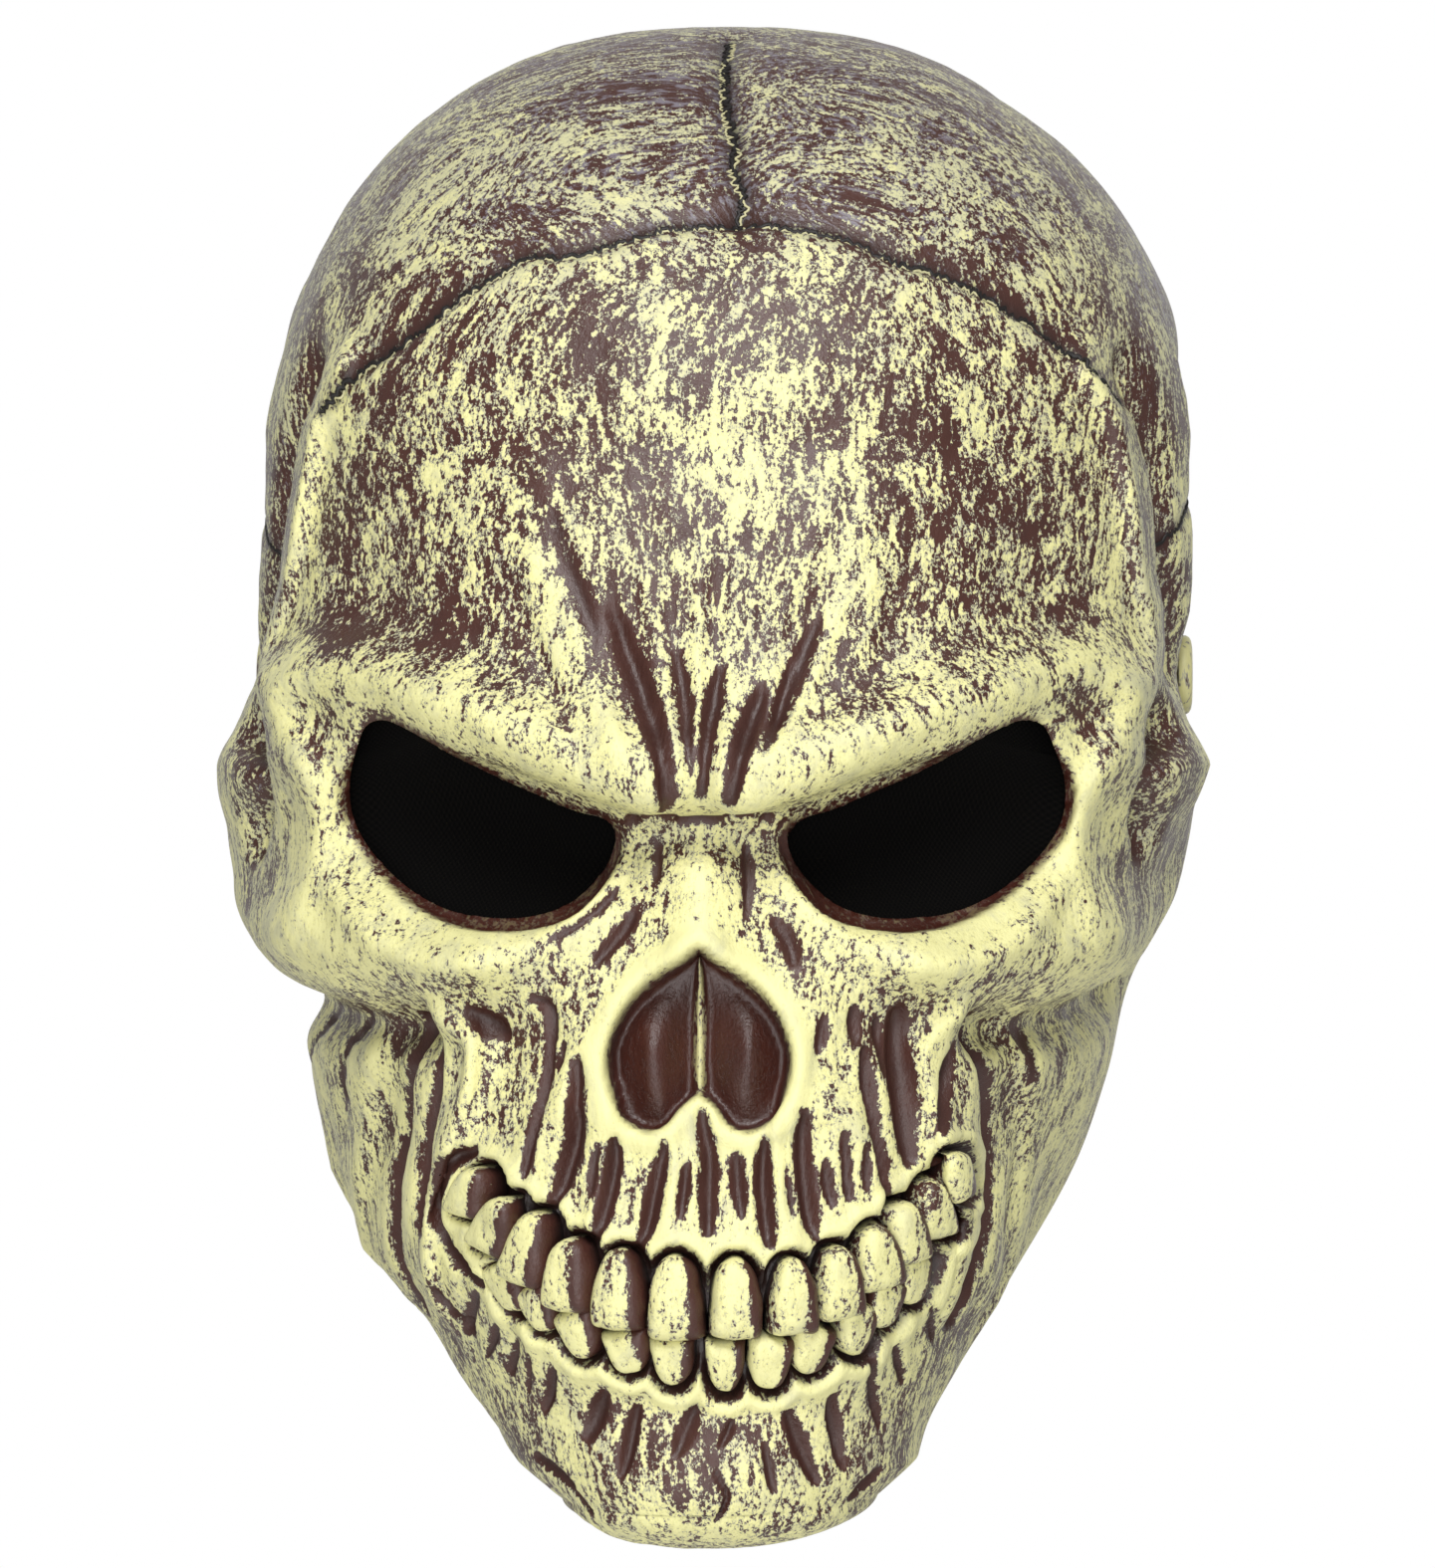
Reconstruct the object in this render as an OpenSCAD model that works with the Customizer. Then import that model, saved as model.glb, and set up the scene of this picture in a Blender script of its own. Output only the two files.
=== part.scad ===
// Open-backed skull mask: one moulded latex skin, trimmed all round, worn with a two-piece elastic head band.
// Millimetres. The origin is the middle of the open back, in the plane of the rear rim; +Z is up and the face
// looks along -Y. The head fills the hollow from behind, and the band closes round the back of the head.

/* [Skin] */
// Overall width, across the cheekbone arches
mask_w = 190; // [180:1:200]
// Thickness of the latex
skin_t = 2.5; // [2:0.1:3]
// Grid cells across the skin, each way
skin_cells = 42; // [30:2:48]

/* [Band] */
// Width of the elastic
band_w = 20; // [15:1:22]
// Thickness of the elastic
band_t = 1.4; // [1:0.1:1.6]
// Height of the band's pivots above the origin
pivot_z = 22; // [18:1:26]
// Distance of the band's pivots in front of the rear rim
pivot_y = 12; // [11:1:14]
// Distance of the band's back run behind the rear rim
band_back = 97; // [90:1:105]
// Radius of the band's bends at the back of the head
bend_r = 35; // [30:1:40]

/* [Buttons] */
// Diameter of the round caps outside the skin
cap_d = 16; // [14:1:17]
// Thickness of a cap at its middle
cap_t = 3; // [2.5:0.1:4]
// Diameter of a rivet's post
post_d = 4; // [3:0.5:5]

/* [Pads] */
// Thickness of the foam pads
pad_t = 8; // [5:1:10]

/* [Hidden] */
$fn = 48;

// The skin's top and bottom, and where its crown and its chin begin to close
top_z = 153.5;
crown_z = 64;
chin_z = -137;
bottom_z = -146;
// The rear rim is flat above the jaw's corner, then runs forward under the jaw by this much
jaw_corner_z = -79;
jaw_run = 95;
// Half width against height, below the crown
HALF_WIDTH = [[-137, 34], [-120, 44], [-100, 57], [-79, 70], [-60, 77], [-40, 82], [-22, 91],
    [-4, 95], [5, 94.5], [14, 91.5], [28, 91], [45, 91], [64, 90]];
// Depth of the middle line in front of the rear rim against height, between chin and crown
MID_DEPTH = [[-137, 117], [-118, 122], [-95, 127], [-70, 125], [-35, 124], [-8, 122], [5, 128],
    [25, 124], [45, 118], [64, 113]];
// How square the level sections are, at the sides and at the front
side_power = 2.5;
front_power = 2.1;

// Raised (+) and sunk (-) forms of the face, each side alike: [x, z, half width, half height, height]
FORMS = [[30, 19, 24, 7, 5], [42, -7, 25, 17, -9], [0, -46, 13, 17, -9], [68, -28, 15, 10, 6],
    [60, -62, 12, 20, -7], [0, -90, 42, 14, 3], [0, -133, 20, 12, 4]];

// One eye opening's outline, as seen from the front
EYE = [[17, -7], [30, -2], [46, 5], [60, 12], [65, 8], [68, -4], [63, -15], [54, -22], [41, -25], [28, -24], [19, -17]];
breath_hole_d = 4;
breath_hole_x = 4;
breath_hole_z = -56;

// Clearances: between pieces that touch, and between a post and what turns on it
gap = 0.2;
run_gap = 0.06;

// Parts of the rivet stack, counted inwards from the skin's inner face
patch_t = 1.2;
flange_t = 0.5;
eyelet_bore_r = post_d / 2 + run_gap;
eyelet_r = post_d / 2 + 1;
eyelet_flange_r = 5.5;
washer_r = 6.5;
washer_t = 1;
hole_r = post_d / 2 + 0.6;

// Soft curve through [position, value] points
function at(points, t, i = 0) =
    i < len(points) - 2 && t > points[i + 1][0] ? at(points, t, i + 1) : spline(points, i, t);
function slope(points, i) = let (a = max(i - 1, 0), b = min(i + 1, len(points) - 1))
    (points[b][1] - points[a][1]) / (points[b][0] - points[a][0]);
function spline(points, i, t) =
    let (run = points[i + 1][0] - points[i][0], u = min(max((t - points[i][0]) / run, 0), 1),
        m0 = slope(points, i) * run, m1 = slope(points, i + 1) * run)
    (2 * u^3 - 3 * u^2 + 1) * points[i][1] + (u^3 - 2 * u^2 + u) * m0
    + (3 * u^2 - 2 * u^3) * points[i + 1][1] + (u^3 - u^2) * m1;
// Quarter of a rounded arch: 1 at t = 0, 0 at t = 1
function arch(t, p, q) = pow(max(1 - pow(min(max(t, 0), 1), p), 0), 1 / q);

function half_width(z) = mask_w / 190 * (
    z > crown_z ? HALF_WIDTH[len(HALF_WIDTH) - 1][1] * arch((z - crown_z) / (top_z - crown_z), 2.6, 2.2)
    : z < chin_z ? HALF_WIDTH[0][1] * arch((chin_z - z) / (chin_z - bottom_z), 2.2, 2) : at(HALF_WIDTH, z));
function rim_y(z) = z > jaw_corner_z ? 0 : -jaw_run * pow((jaw_corner_z - z) / (jaw_corner_z - bottom_z), 1.2);
function mid_depth(z) =
    z > crown_z ? MID_DEPTH[len(MID_DEPTH) - 1][1] * arch((z - crown_z) / (top_z - crown_z), 1.8, 2)
    : z < chin_z ? jaw_run + (MID_DEPTH[0][1] - jaw_run) * arch((chin_z - z) / (chin_z - bottom_z), 2.2, 2)
    : at(MID_DEPTH, z);
function form(x, z, f) = f[4] * exp(-pow((abs(x) - f[0]) / f[2], 2) - pow((z - f[1]) / f[3], 2));
function relief(x, z) = form(x, z, FORMS[0]) + form(x, z, FORMS[1]) + form(x, z, FORMS[2])
    + form(x, z, FORMS[3]) + form(x, z, FORMS[4]) + form(x, z, FORMS[5]) + form(x, z, FORMS[6]);

// Outer face at height z, and e of the way from the middle line to the rim
function face(e, z) =
    let (x = e * half_width(z), back = rim_y(z), calm = arch(abs(e), 8, 1))
    [x, back - (mid_depth(z) + back) * arch(abs(e), side_power, front_power) - calm * relief(x, z), z];
// Outer face at a point given from the front
function face_at(x, z) = face(x / half_width(z), z);
function unit(v) = v / norm(v);
function inward_at(x, z) = let (d = 0.5)
    unit(cross(face_at(x, z + d) - face_at(x, z - d), face_at(x + d, z) - face_at(x - d, z)));

// Square [-1, 1] x [-1, 1] to a disc of radius 1
function disc(s, v) = [s * sqrt(1 - v * v / 2), v * sqrt(1 - s * s / 2)];
// The same, with its cells crowded towards the edge, where the skin turns back
function crowded(s, v) = let (p = disc(s, v), r = norm(p)) r < 0.001 ? p : p * sin(90 * min(r, 1)) / r;
function skin_point(s, v) =
    let (p = crowded(s, v), z = p[1] * (p[1] > 0 ? top_z : -bottom_z),
        e = p[0] / max(sqrt(max(1 - p[1] * p[1], 0)), 0.0001))
    face(min(max(e, -1), 1), z);
function inner_point(s, v) =
    let (d = 0.01, a = max(min(s, 1 - d), d - 1), b = max(min(v, 1 - d), d - 1), p = skin_point(s, v),
        n = unit(cross(skin_point(a, b + d) - skin_point(a, b - d), skin_point(a + d, b) - skin_point(a - d, b))),
        on_rim = max(abs(s), abs(v)) > 0.999)
    p + skin_t * (on_rim ? unit([n[0], 0, n[2]]) : n);

// Closed solid between two sheets of points, each (cells + 1) x (cells + 1)
module between_sheets(outer, inner, cells) {
    row = cells + 1;
    count = row * row;
    rim = concat([for (i = [0:cells - 1]) i], [for (j = [0:cells - 1]) j * row + cells],
        [for (i = [cells:-1:1]) cells * row + i], [for (j = [cells:-1:1]) j * row]);
    faces = concat(
        [for (j = [0:cells - 1], i = [0:cells - 1]) [j * row + i, j * row + i + 1, (j + 1) * row + i + 1]],
        [for (j = [0:cells - 1], i = [0:cells - 1]) [j * row + i, (j + 1) * row + i + 1, (j + 1) * row + i]],
        [for (j = [0:cells - 1], i = [0:cells - 1])
            [count + j * row + i, count + (j + 1) * row + i + 1, count + j * row + i + 1]],
        [for (j = [0:cells - 1], i = [0:cells - 1])
            [count + j * row + i, count + (j + 1) * row + i, count + (j + 1) * row + i + 1]],
        [for (k = [0:len(rim) - 1]) let (a = rim[k], b = rim[(k + 1) % len(rim)]) [a, count + a, b]],
        [for (k = [0:len(rim) - 1]) let (a = rim[k], b = rim[(k + 1) % len(rim)]) [b, count + a, count + b]]);
    polyhedron(concat(outer, inner), [for (f = faces) [f[0], f[2], f[1]]], convexity = 10);
}

// Oval pad or panel on the skin's inner face, from depth to depth + t under the outer face;
// dish lets its middle stand further in
module lining(x, z, rx, rz, depth, t, cells, dish = 0) {
    uv = [for (j = [0:cells], i = [0:cells]) disc(2 * i / cells - 1, 2 * j / cells - 1)];
    function sheet(extra) = [for (p = uv) let (px = x + rx * p[0], pz = z + rz * p[1])
        face_at(px, pz) + (depth + extra + dish * (1 - p * p)) * inward_at(px, pz)];
    between_sheets(sheet(0), sheet(t), cells);
}

module mask_skin() {
    steps = [for (j = [0:skin_cells], i = [0:skin_cells]) [2 * i / skin_cells - 1, 2 * j / skin_cells - 1]];
    color("#e5e09a")
        // the finished skin is drawn to its exact overall width
        resize([mask_w, 0, 0])
            difference() {
                between_sheets([for (p = steps) skin_point(p[0], p[1])], [for (p = steps) inner_point(p[0], p[1])],
                    skin_cells);
                for (side = [-1, 1]) {
                    scale([side, 1, 1])
                        translate([0, -40, 0])
                            rotate([90, 0, 0])
                                linear_extrude(120)
                                    offset(2)
                                        offset(-2)
                                            polygon(EYE);
                    translate([side * breath_hole_x, -80, breath_hole_z])
                        rotate([90, 0, 0])
                            cylinder(d = breath_hole_d, h = 60);
                    translate([side * 70, -pivot_y, pivot_z])
                        rotate([0, side * 90, 0])
                            cylinder(r = hole_r, h = 40);
                    // the flat that a cap sits on
                    translate([side * (seat_x - gap), -pivot_y, pivot_z])
                        rotate([0, side * 90, 0])
                            cylinder(r = cap_d / 2 + 1, h = 10);
                }
            }
}

// Everything on a pivot is built about the +X axis with its pivot at the origin, from the skin's outer face
// inwards, and mirrored for the left side
seat_x = 91.3;
patch_r = 10.5;
patch_x = half_width(pivot_z) * arch((pivot_y + patch_r) / mid_depth(pivot_z), front_power, side_power) - skin_t - 2 * gap;
band_x = patch_x - patch_t - gap - flange_t;
washer_x = band_x - band_t - flange_t - gap;

module on_side(side) {
    translate([0, -pivot_y, pivot_z])
        scale([side, 1, 1])
            children();
}
module disc_x(x, r, t) {
    translate([x, 0, 0])
        rotate([0, -90, 0])
            cylinder(r = r, h = t);
}

module button_cap(side) {
    ball_r = (cap_d * cap_d / 4 + cap_t * cap_t) / (2 * cap_t);
    color("#e3de9c")
        on_side(side)
            difference() {
                translate([seat_x, 0, 0])
                    rotate([0, 90, 0])
                        intersection() {
                            translate([0, 0, cap_t - ball_r])
                                sphere(ball_r, $fn = 64);
                            cylinder(d = cap_d, h = cap_t);
                        }
                disc_x(seat_x + cap_t / 2, post_d / 2 + run_gap, cap_t);
            }
}

module rivet(side) {
    color("#8d7a55")
        on_side(side) {
            disc_x(seat_x + cap_t / 2 - run_gap, post_d / 2, seat_x + cap_t / 2 - run_gap - washer_x);
            disc_x(washer_x, washer_r, washer_t);
        }
}

module anchor_patch(side) {
    color("#3a2a22")
        on_side(side)
            difference() {
                disc_x(patch_x, patch_r, patch_t);
                disc_x(patch_x + 1, hole_r, patch_t + 2);
            }
}

module band_eyelet(side) {
    color("#b39a62")
        on_side(side)
            difference() {
                union() {
                    disc_x(band_x + flange_t, eyelet_flange_r, flange_t);
                    disc_x(band_x + flange_t, eyelet_r, band_t + 2 * flange_t);
                    disc_x(band_x - band_t, eyelet_flange_r, flange_t);
                }
                disc_x(band_x + 2, eyelet_bore_r, band_t + 4);
            }
}

module eye_gauze(side) {
    color("#14110d")
        scale([side, 1, 1])
            lining(42, -7, 36, 27, skin_t + 2, 0.8, 16, 4);
}

module forehead_pad() {
    color("#2c2c2e")
        lining(0, 78, 42, 16, skin_t + 0.4, pad_t, 14);
}

module chin_pad() {
    color("#2c2c2e")
        lining(0, -118, 20, 11, skin_t + 0.4, pad_t, 12);
}

module care_label() {
    color("#d8d4c8")
        lining(0, 112, 17, 9, skin_t + 0.3, 0.6, 6);
}

// The band lies level: its layers are drawn from above, and band_w tall
band_mid_x = band_x - band_t / 2;
bend_x = band_mid_x - bend_r;
bend_y = band_back - bend_r;
bar_r = 1.3;
loop_r = bar_r + 0.1;
layer_step = 2 * loop_r + band_t;
ring_far_x = -42;
ring_near_x = -28;
short_tail_x = -50;
long_tail_x = 44;

// One side of the band, from its rounded end on the pivot to the straight run across the back
module band_side(side) {
    on_side(side)
        difference() {
            translate([band_x - band_t, 0, 0])
                rotate([90, 0, 90])
                    linear_extrude(band_t) {
                        circle(d = band_w);
                        translate([0, -band_w / 2])
                            square([bend_y + pivot_y, band_w]);
                    }
            disc_x(band_x + 1, eyelet_r + run_gap, band_t + 2);
        }
    translate([0, 0, pivot_z - band_w / 2])
        scale([side, 1, 1])
            translate([bend_x, bend_y, 0])
                rotate_extrude(angle = 90, $fn = 96)
                    translate([bend_r - band_t / 2, 0])
                        square([band_t, band_w]);
}

// A straight stretch of a layer, from x0 to x1, with its middle at y
module layer(x0, x1, y) {
    translate([min(x0, x1), y - band_t / 2, pivot_z - band_w / 2])
        cube([abs(x1 - x0), band_t, band_w]);
}

// The half turn round a bar of the ring, open towards the side that the band comes from
module half_turn(x, side) {
    translate([x, band_back + layer_step / 2, pivot_z - band_w / 2])
        rotate([0, 0, side > 0 ? 90 : -90])
            rotate_extrude(angle = 180, $fn = 64)
                translate([loop_r, 0])
                    square([band_t, band_w]);
}

module long_band() {
    color("#1b1a1a") {
        band_side(1);
        layer(bend_x, ring_near_x, band_back);
        half_turn(ring_near_x, 1);
        layer(ring_near_x, long_tail_x, band_back + layer_step);
    }
}

module short_band() {
    color("#1b1a1a") {
        band_side(-1);
        layer(-bend_x, ring_far_x, band_back);
        half_turn(ring_far_x, -1);
        layer(ring_far_x, short_tail_x, band_back + layer_step);
    }
}

module bar(x, y, half_h) {
    translate([x, y, pivot_z - half_h])
        cylinder(r = bar_r, h = 2 * half_h);
}

module band_ring() {
    y = band_back + layer_step / 2;
    half_h = band_w / 2 + 2.2;
    color("#20201f") {
        bar(ring_near_x, y, half_h);
        bar(ring_far_x, y, half_h);
        for (side = [-1, 1])
            translate([ring_far_x, y, pivot_z + side * half_h]) {
                rotate([0, 90, 0])
                    cylinder(r = bar_r, h = ring_near_x - ring_far_x);
                sphere(bar_r);
                translate([ring_near_x - ring_far_x, 0, 0])
                    sphere(bar_r);
            }
    }
}

slider_x = 8;
slider_l = 12;
slider_wall = 1.6;
slot_gap = 0.25;
module band_slider() {
    slot = [slider_l + 2, band_t + 2 * slot_gap, band_w + 1.2];
    color("#20201f")
        translate([slider_x, band_back, pivot_z])
            difference() {
                translate([0, layer_step / 2, 0])
                    cube([slider_l, layer_step + slot[1] + 2 * slider_wall, slot[2] + 2 * slider_wall], center = true);
                cube(slot, center = true);
                translate([0, layer_step, 0])
                    cube(slot, center = true);
            }
}

mask_skin();
button_cap(-1);  // left_button_cap
button_cap(1);  // right_button_cap
rivet(-1);  // left_rivet
rivet(1);  // right_rivet
anchor_patch(-1);  // left_anchor_patch
anchor_patch(1);  // right_anchor_patch
eye_gauze(-1);  // left_eye_gauze
eye_gauze(1);  // right_eye_gauze
forehead_pad();
chin_pad();
care_label();
band_eyelet(-1);  // left_band_eyelet
band_eyelet(1);  // right_band_eyelet
long_band();
short_band();
band_ring();
band_slider();
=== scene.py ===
"""Looks of an open-backed latex skull mask: sculpted skin, painted teeth, near-black gauze behind the eyes as
painted shade, pads and elastic band.
Lengths in the sculpting part are millimetres, seen from the front: x to the right, z up."""

import functools
import math

import bmesh
import bpy
import numpy as np
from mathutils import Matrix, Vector
from mathutils.bvhtree import BVHTree


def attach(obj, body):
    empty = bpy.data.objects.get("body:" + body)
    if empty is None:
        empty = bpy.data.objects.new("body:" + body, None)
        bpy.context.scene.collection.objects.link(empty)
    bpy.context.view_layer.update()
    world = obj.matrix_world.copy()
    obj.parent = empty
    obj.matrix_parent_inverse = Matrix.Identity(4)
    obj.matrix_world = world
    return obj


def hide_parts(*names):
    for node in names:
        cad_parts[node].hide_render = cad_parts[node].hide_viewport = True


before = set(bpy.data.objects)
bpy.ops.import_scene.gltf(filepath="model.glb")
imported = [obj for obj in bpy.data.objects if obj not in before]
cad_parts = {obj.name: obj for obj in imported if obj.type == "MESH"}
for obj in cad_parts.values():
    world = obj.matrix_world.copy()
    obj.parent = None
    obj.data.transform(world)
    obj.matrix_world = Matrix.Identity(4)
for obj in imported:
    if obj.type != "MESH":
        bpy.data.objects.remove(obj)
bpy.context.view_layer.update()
MM = 0.001

# ---------------------------------------------------------------- the blank, the same shell as the CAD skin
TOP_Z, CROWN_Z, CHIN_Z, BOTTOM_Z = 153.5, 64.0, -137.0, -146.0
JAW_CORNER_Z, JAW_RUN = -79.0, 95.0
HALF_WIDTH = [(-137, 34), (-120, 44), (-100, 57), (-79, 70), (-60, 77), (-40, 82), (-22, 91), (-4, 95),
              (5, 94.5), (14, 91.5), (28, 91), (45, 91), (64, 90)]
MID_DEPTH = [(-137, 117), (-118, 122), (-95, 127), (-70, 125), (-35, 124), (-8, 122), (5, 128), (25, 124),
             (45, 118), (64, 113)]


def through(points, t):
    """Soft curve through (position, value) points."""
    x, y = np.array(points, float).T
    slope = np.empty(len(x))
    slope[1:-1] = (y[2:] - y[:-2]) / (x[2:] - x[:-2])
    slope[0] = (y[1] - y[0]) / (x[1] - x[0])
    slope[-1] = (y[-1] - y[-2]) / (x[-1] - x[-2])
    i = np.clip(np.searchsorted(x, t) - 1, 0, len(x) - 2)
    run = x[i + 1] - x[i]
    u = np.clip((t - x[i]) / run, 0, 1)
    near = (2 * u**3 - 3 * u**2 + 1) * y[i] + (u**3 - 2 * u**2 + u) * slope[i] * run
    return near + (3 * u**2 - 2 * u**3) * y[i + 1] + (u**3 - u**2) * slope[i + 1] * run


def arch(t, p, q):
    """Quarter of a rounded arch: 1 at t = 0 and 0 at t = 1."""
    return np.maximum(1 - np.clip(t, 0, 1) ** p, 0) ** (1 / q)


def half_width(z):
    crown = HALF_WIDTH[-1][1] * arch((z - CROWN_Z) / (TOP_Z - CROWN_Z), 2.6, 2.2)
    chin = HALF_WIDTH[0][1] * arch((CHIN_Z - z) / (CHIN_Z - BOTTOM_Z), 2.2, 2)
    return np.where(z > CROWN_Z, crown, np.where(z < CHIN_Z, chin, through(HALF_WIDTH, z)))


def rim_y(z):
    run = np.clip((JAW_CORNER_Z - z) / (JAW_CORNER_Z - BOTTOM_Z), 0, 1)
    return -JAW_RUN * run**1.2


def mid_depth(z):
    crown = MID_DEPTH[-1][1] * arch((z - CROWN_Z) / (TOP_Z - CROWN_Z), 1.8, 2)
    chin = JAW_RUN + (MID_DEPTH[0][1] - JAW_RUN) * arch((CHIN_Z - z) / (CHIN_Z - BOTTOM_Z), 2.2, 2)
    return np.where(z > CROWN_Z, crown, np.where(z < CHIN_Z, chin, through(MID_DEPTH, z)))


def blank(disc):
    """Points of the blank for points of the unit disc, whose edge is the mask's rim."""
    r = np.minimum(np.hypot(disc[:, 0], disc[:, 1]), 1)
    k = np.where(r > 1e-6, np.sin(r * math.pi / 2) / np.maximum(r, 1e-6), math.pi / 2)
    sx, sz = disc[:, 0] * k, disc[:, 1] * k
    z = sz * np.where(sz > 0, TOP_Z, -BOTTOM_Z)
    e = np.clip(sx / np.maximum(np.sqrt(np.maximum(1 - sz**2, 0)), 1e-5), -1, 1)
    back = rim_y(z)
    y = back - (mid_depth(z) + back) * arch(np.abs(e), 2.5, 2.1)
    return np.stack([e * half_width(z), y, z], 1)


def on_disc(x, z):
    """The disc point of a front-view point."""
    x, z = np.asarray(x, float), np.asarray(z, float)
    sz = np.clip(z / np.where(z > 0, TOP_Z, -BOTTOM_Z), -0.99999, 0.99999)
    sx = np.clip(x / np.maximum(half_width(z), 1e-3), -1, 1) * np.sqrt(1 - sz**2)
    r = np.maximum(np.hypot(sx, sz), 1e-9)
    return np.stack([sx, sz], 1) * (np.arcsin(np.minimum(r, 1)) * 2 / math.pi / r)[:, None]


# ---------------------------------------------------------------- sculpting tools
def fair(points, step=2.0, closed=False):
    """Catmull-Rom line through given (x, z) points, with a point about every step mm."""
    p = np.array(points, float)
    if closed:
        p = np.vstack([p[-1], p, p[:2]])
    else:
        p = np.vstack([2 * p[0] - p[1], p, 2 * p[-1] - p[-2]])
    out = []
    for a, b, c, d in zip(p[:-3], p[1:-2], p[2:-1], p[3:]):
        count = max(int(np.ceil(np.linalg.norm(c - b) / step)), 1)
        t = (np.arange(count) / count)[:, None]
        out.append(0.5 * (2 * b + (c - a) * t + (2 * a - 5 * b + 4 * c - d) * t**2
                          + (3 * b - a - 3 * c + d) * t**3))
    if not closed:
        out.append(p[-2:-1])
    return np.vstack(out)


def segment_distance(q, line):
    """Distance of each point to a polyline, and how far along it the nearest place is, from 0 to 1."""
    best = np.full(len(q), 1e9)
    where = np.zeros(len(q))
    for i, (a, b) in enumerate(zip(line[:-1], line[1:])):
        ab = b - a
        t = np.clip((q - a) @ ab / max(ab @ ab, 1e-9), 0, 1)
        d = np.linalg.norm(q - a - t[:, None] * ab, axis=1)
        closer = d < best
        best[closer] = d[closer]
        where[closer] = (i + t[closer]) / (len(line) - 1)
    return best, where


def inside(q, outline):
    """Whether each front-view point is inside a closed outline."""
    hit = np.zeros(len(q), bool)
    for (ax, az), (bx, bz) in zip(outline, np.roll(outline, -1, 0)):
        crosses = (az > q[:, 1]) != (bz > q[:, 1])
        at = ax + (bx - ax) * (q[:, 1] - az) / (bz - az if bz != az else 1e-9)
        hit ^= crosses & (q[:, 0] < at)
    return hit


def outline_distance(q, outline):
    """Signed front-view distance to a closed outline, negative inside."""
    d, _ = segment_distance(q, np.vstack([outline, outline[:1]]))
    return np.where(inside(q, outline), -d, d)


def soft_step(t):
    t = np.clip(t, 0, 1)
    return t * t * (3 - 2 * t)


def mirrored(points):
    return [(-x, z) for x, z in points]


# ---------------------------------------------------------------- large forms
# a mound is (x, z, half width, half height, turn, height)
BOTH_SIDES_MOUNDS = [
    (81, 20, 9, 9, 0, 6),  # outer end of the brow
    (42, -9, 25, 15, 12, -11),  # eye socket
    (24, -13, 9, 8, 0, -3),  # its inner corner
    (72, -30, 16, 9, -10, 6),  # cheekbone
    (93, 2, 8, 13, 0, 4),  # arch behind the cheekbone
    (88, 48, 9, 26, 0, -2),  # temple
    (37, -47, 9, 10, 0, -3.5),  # hollow beside the nose
    (62, -66, 9, 22, 0, -7),  # hollow under the cheekbone
    (22, -52, 6, 16, 10, 1.5),  # side of the nose aperture
    (28, 46, 20, 14, 0, 1.5),  # forehead eminence
    (66, 40, 12, 16, 20, -2),  # dip in front of the temporal ridge
]
MIDDLE_MOUNDS = [
    (0, 4, 13, 9, 0, 4),  # glabella
    (0, -10, 13, 5, 0, -5.5),  # root of the nose
    (0, -72, 34, 16, 0, 2.5),  # upper jaw
    (0, -94, 40, 14, 0, 2),  # bulge of the teeth
    (0, -117, 26, 6, 0, -2),  # crease over the chin
    (0, -133, 20, 10, 0, 4),  # chin
]
# Long soft forms: points, full width, height. Each is on both sides.
BOTH_SIDES_ROLLS = [
    ([(10, 1), (22, 4), (34, 9), (46, 14), (58, 19), (70, 22), (81, 20)], 15, 8),  # brow
    ([(10, 28), (22, 31), (36, 33), (52, 35), (64, 34)], 18, -1.2),  # dip over the brow
    ([(19, -16), (24, -26), (34, -32), (48, -33), (60, -29), (69, -20)], 8, 3),  # lower edge of the socket
    ([(80, 13), (75, 3), (73, -8), (74, -20), (78, -28)], 12, 6),  # pillar beside the socket
    ([(94, -18), (84, -28), (71, -34), (55, -35), (40, -33)], 15, 5.5),  # cheekbone ridge
    ([(83, -40), (76, -45), (66, -47), (54, -47)], 10, -7),  # undercut below the cheekbone
    ([(86, 12), (84, 2), (86, -10)], 9, -7),  # slot between pillar and arch
    ([(70, 80), (74, 70), (76, 59), (78, 48), (80, 38), (83, 28), (83, 20)], 9, 6),  # temporal ridge
    ([(78, 80), (81, 70), (83, 58), (84.5, 46), (86.5, 34), (88, 24)], 11, -4.5),  # groove behind the ridge
    ([(49, -44), (43, -50), (45, -66), (49, -82), (47, -100)], 6, 3.5),  # fold of the cheek
    ([(66, -44), (67, -60), (65, -77), (60, -93), (52, -107)], 12, 4.5),  # outer fold of the cheek
    ([(17, -62), (25, -60), (31, -68), (34, -80)], 7, 1.5),  # root of the canine
]
MIDDLE_ROLLS = [
    ([(0, -12), (0, -20), (0, -31)], 14, 4.5),  # nose bone
]

EYE = [(16, -9), (18, -6.5), (24, -5), (31, -2), (38, 1), (46, 5), (54, 9.5), (60, 12), (64, 11), (66, 7),
       (68, 1), (68, -5), (66, -10), (62, -15), (56, -20), (49, -23.5), (42, -25), (33, -25), (25, -22.5),
       (19, -17), (16.5, -12.5)]
NOSE = [(0, -30), (4, -33), (9, -36), (13, -40), (16, -45), (17.5, -51), (16.5, -57), (14, -62), (10, -64.5),
        (6, -63.5), (3, -60), (0, -58), (-3, -60), (-6, -63.5), (-10, -64.5), (-14, -62), (-16.5, -57),
        (-17.5, -51), (-16, -45), (-13, -40), (-9, -36), (-4, -33)]
EYES = {"left": fair(mirrored(EYE)[::-1], 1.5, closed=True), "right": fair(EYE, 1.5, closed=True)}
NOSE_LINE = fair(NOSE, 1.0, closed=True)

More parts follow.
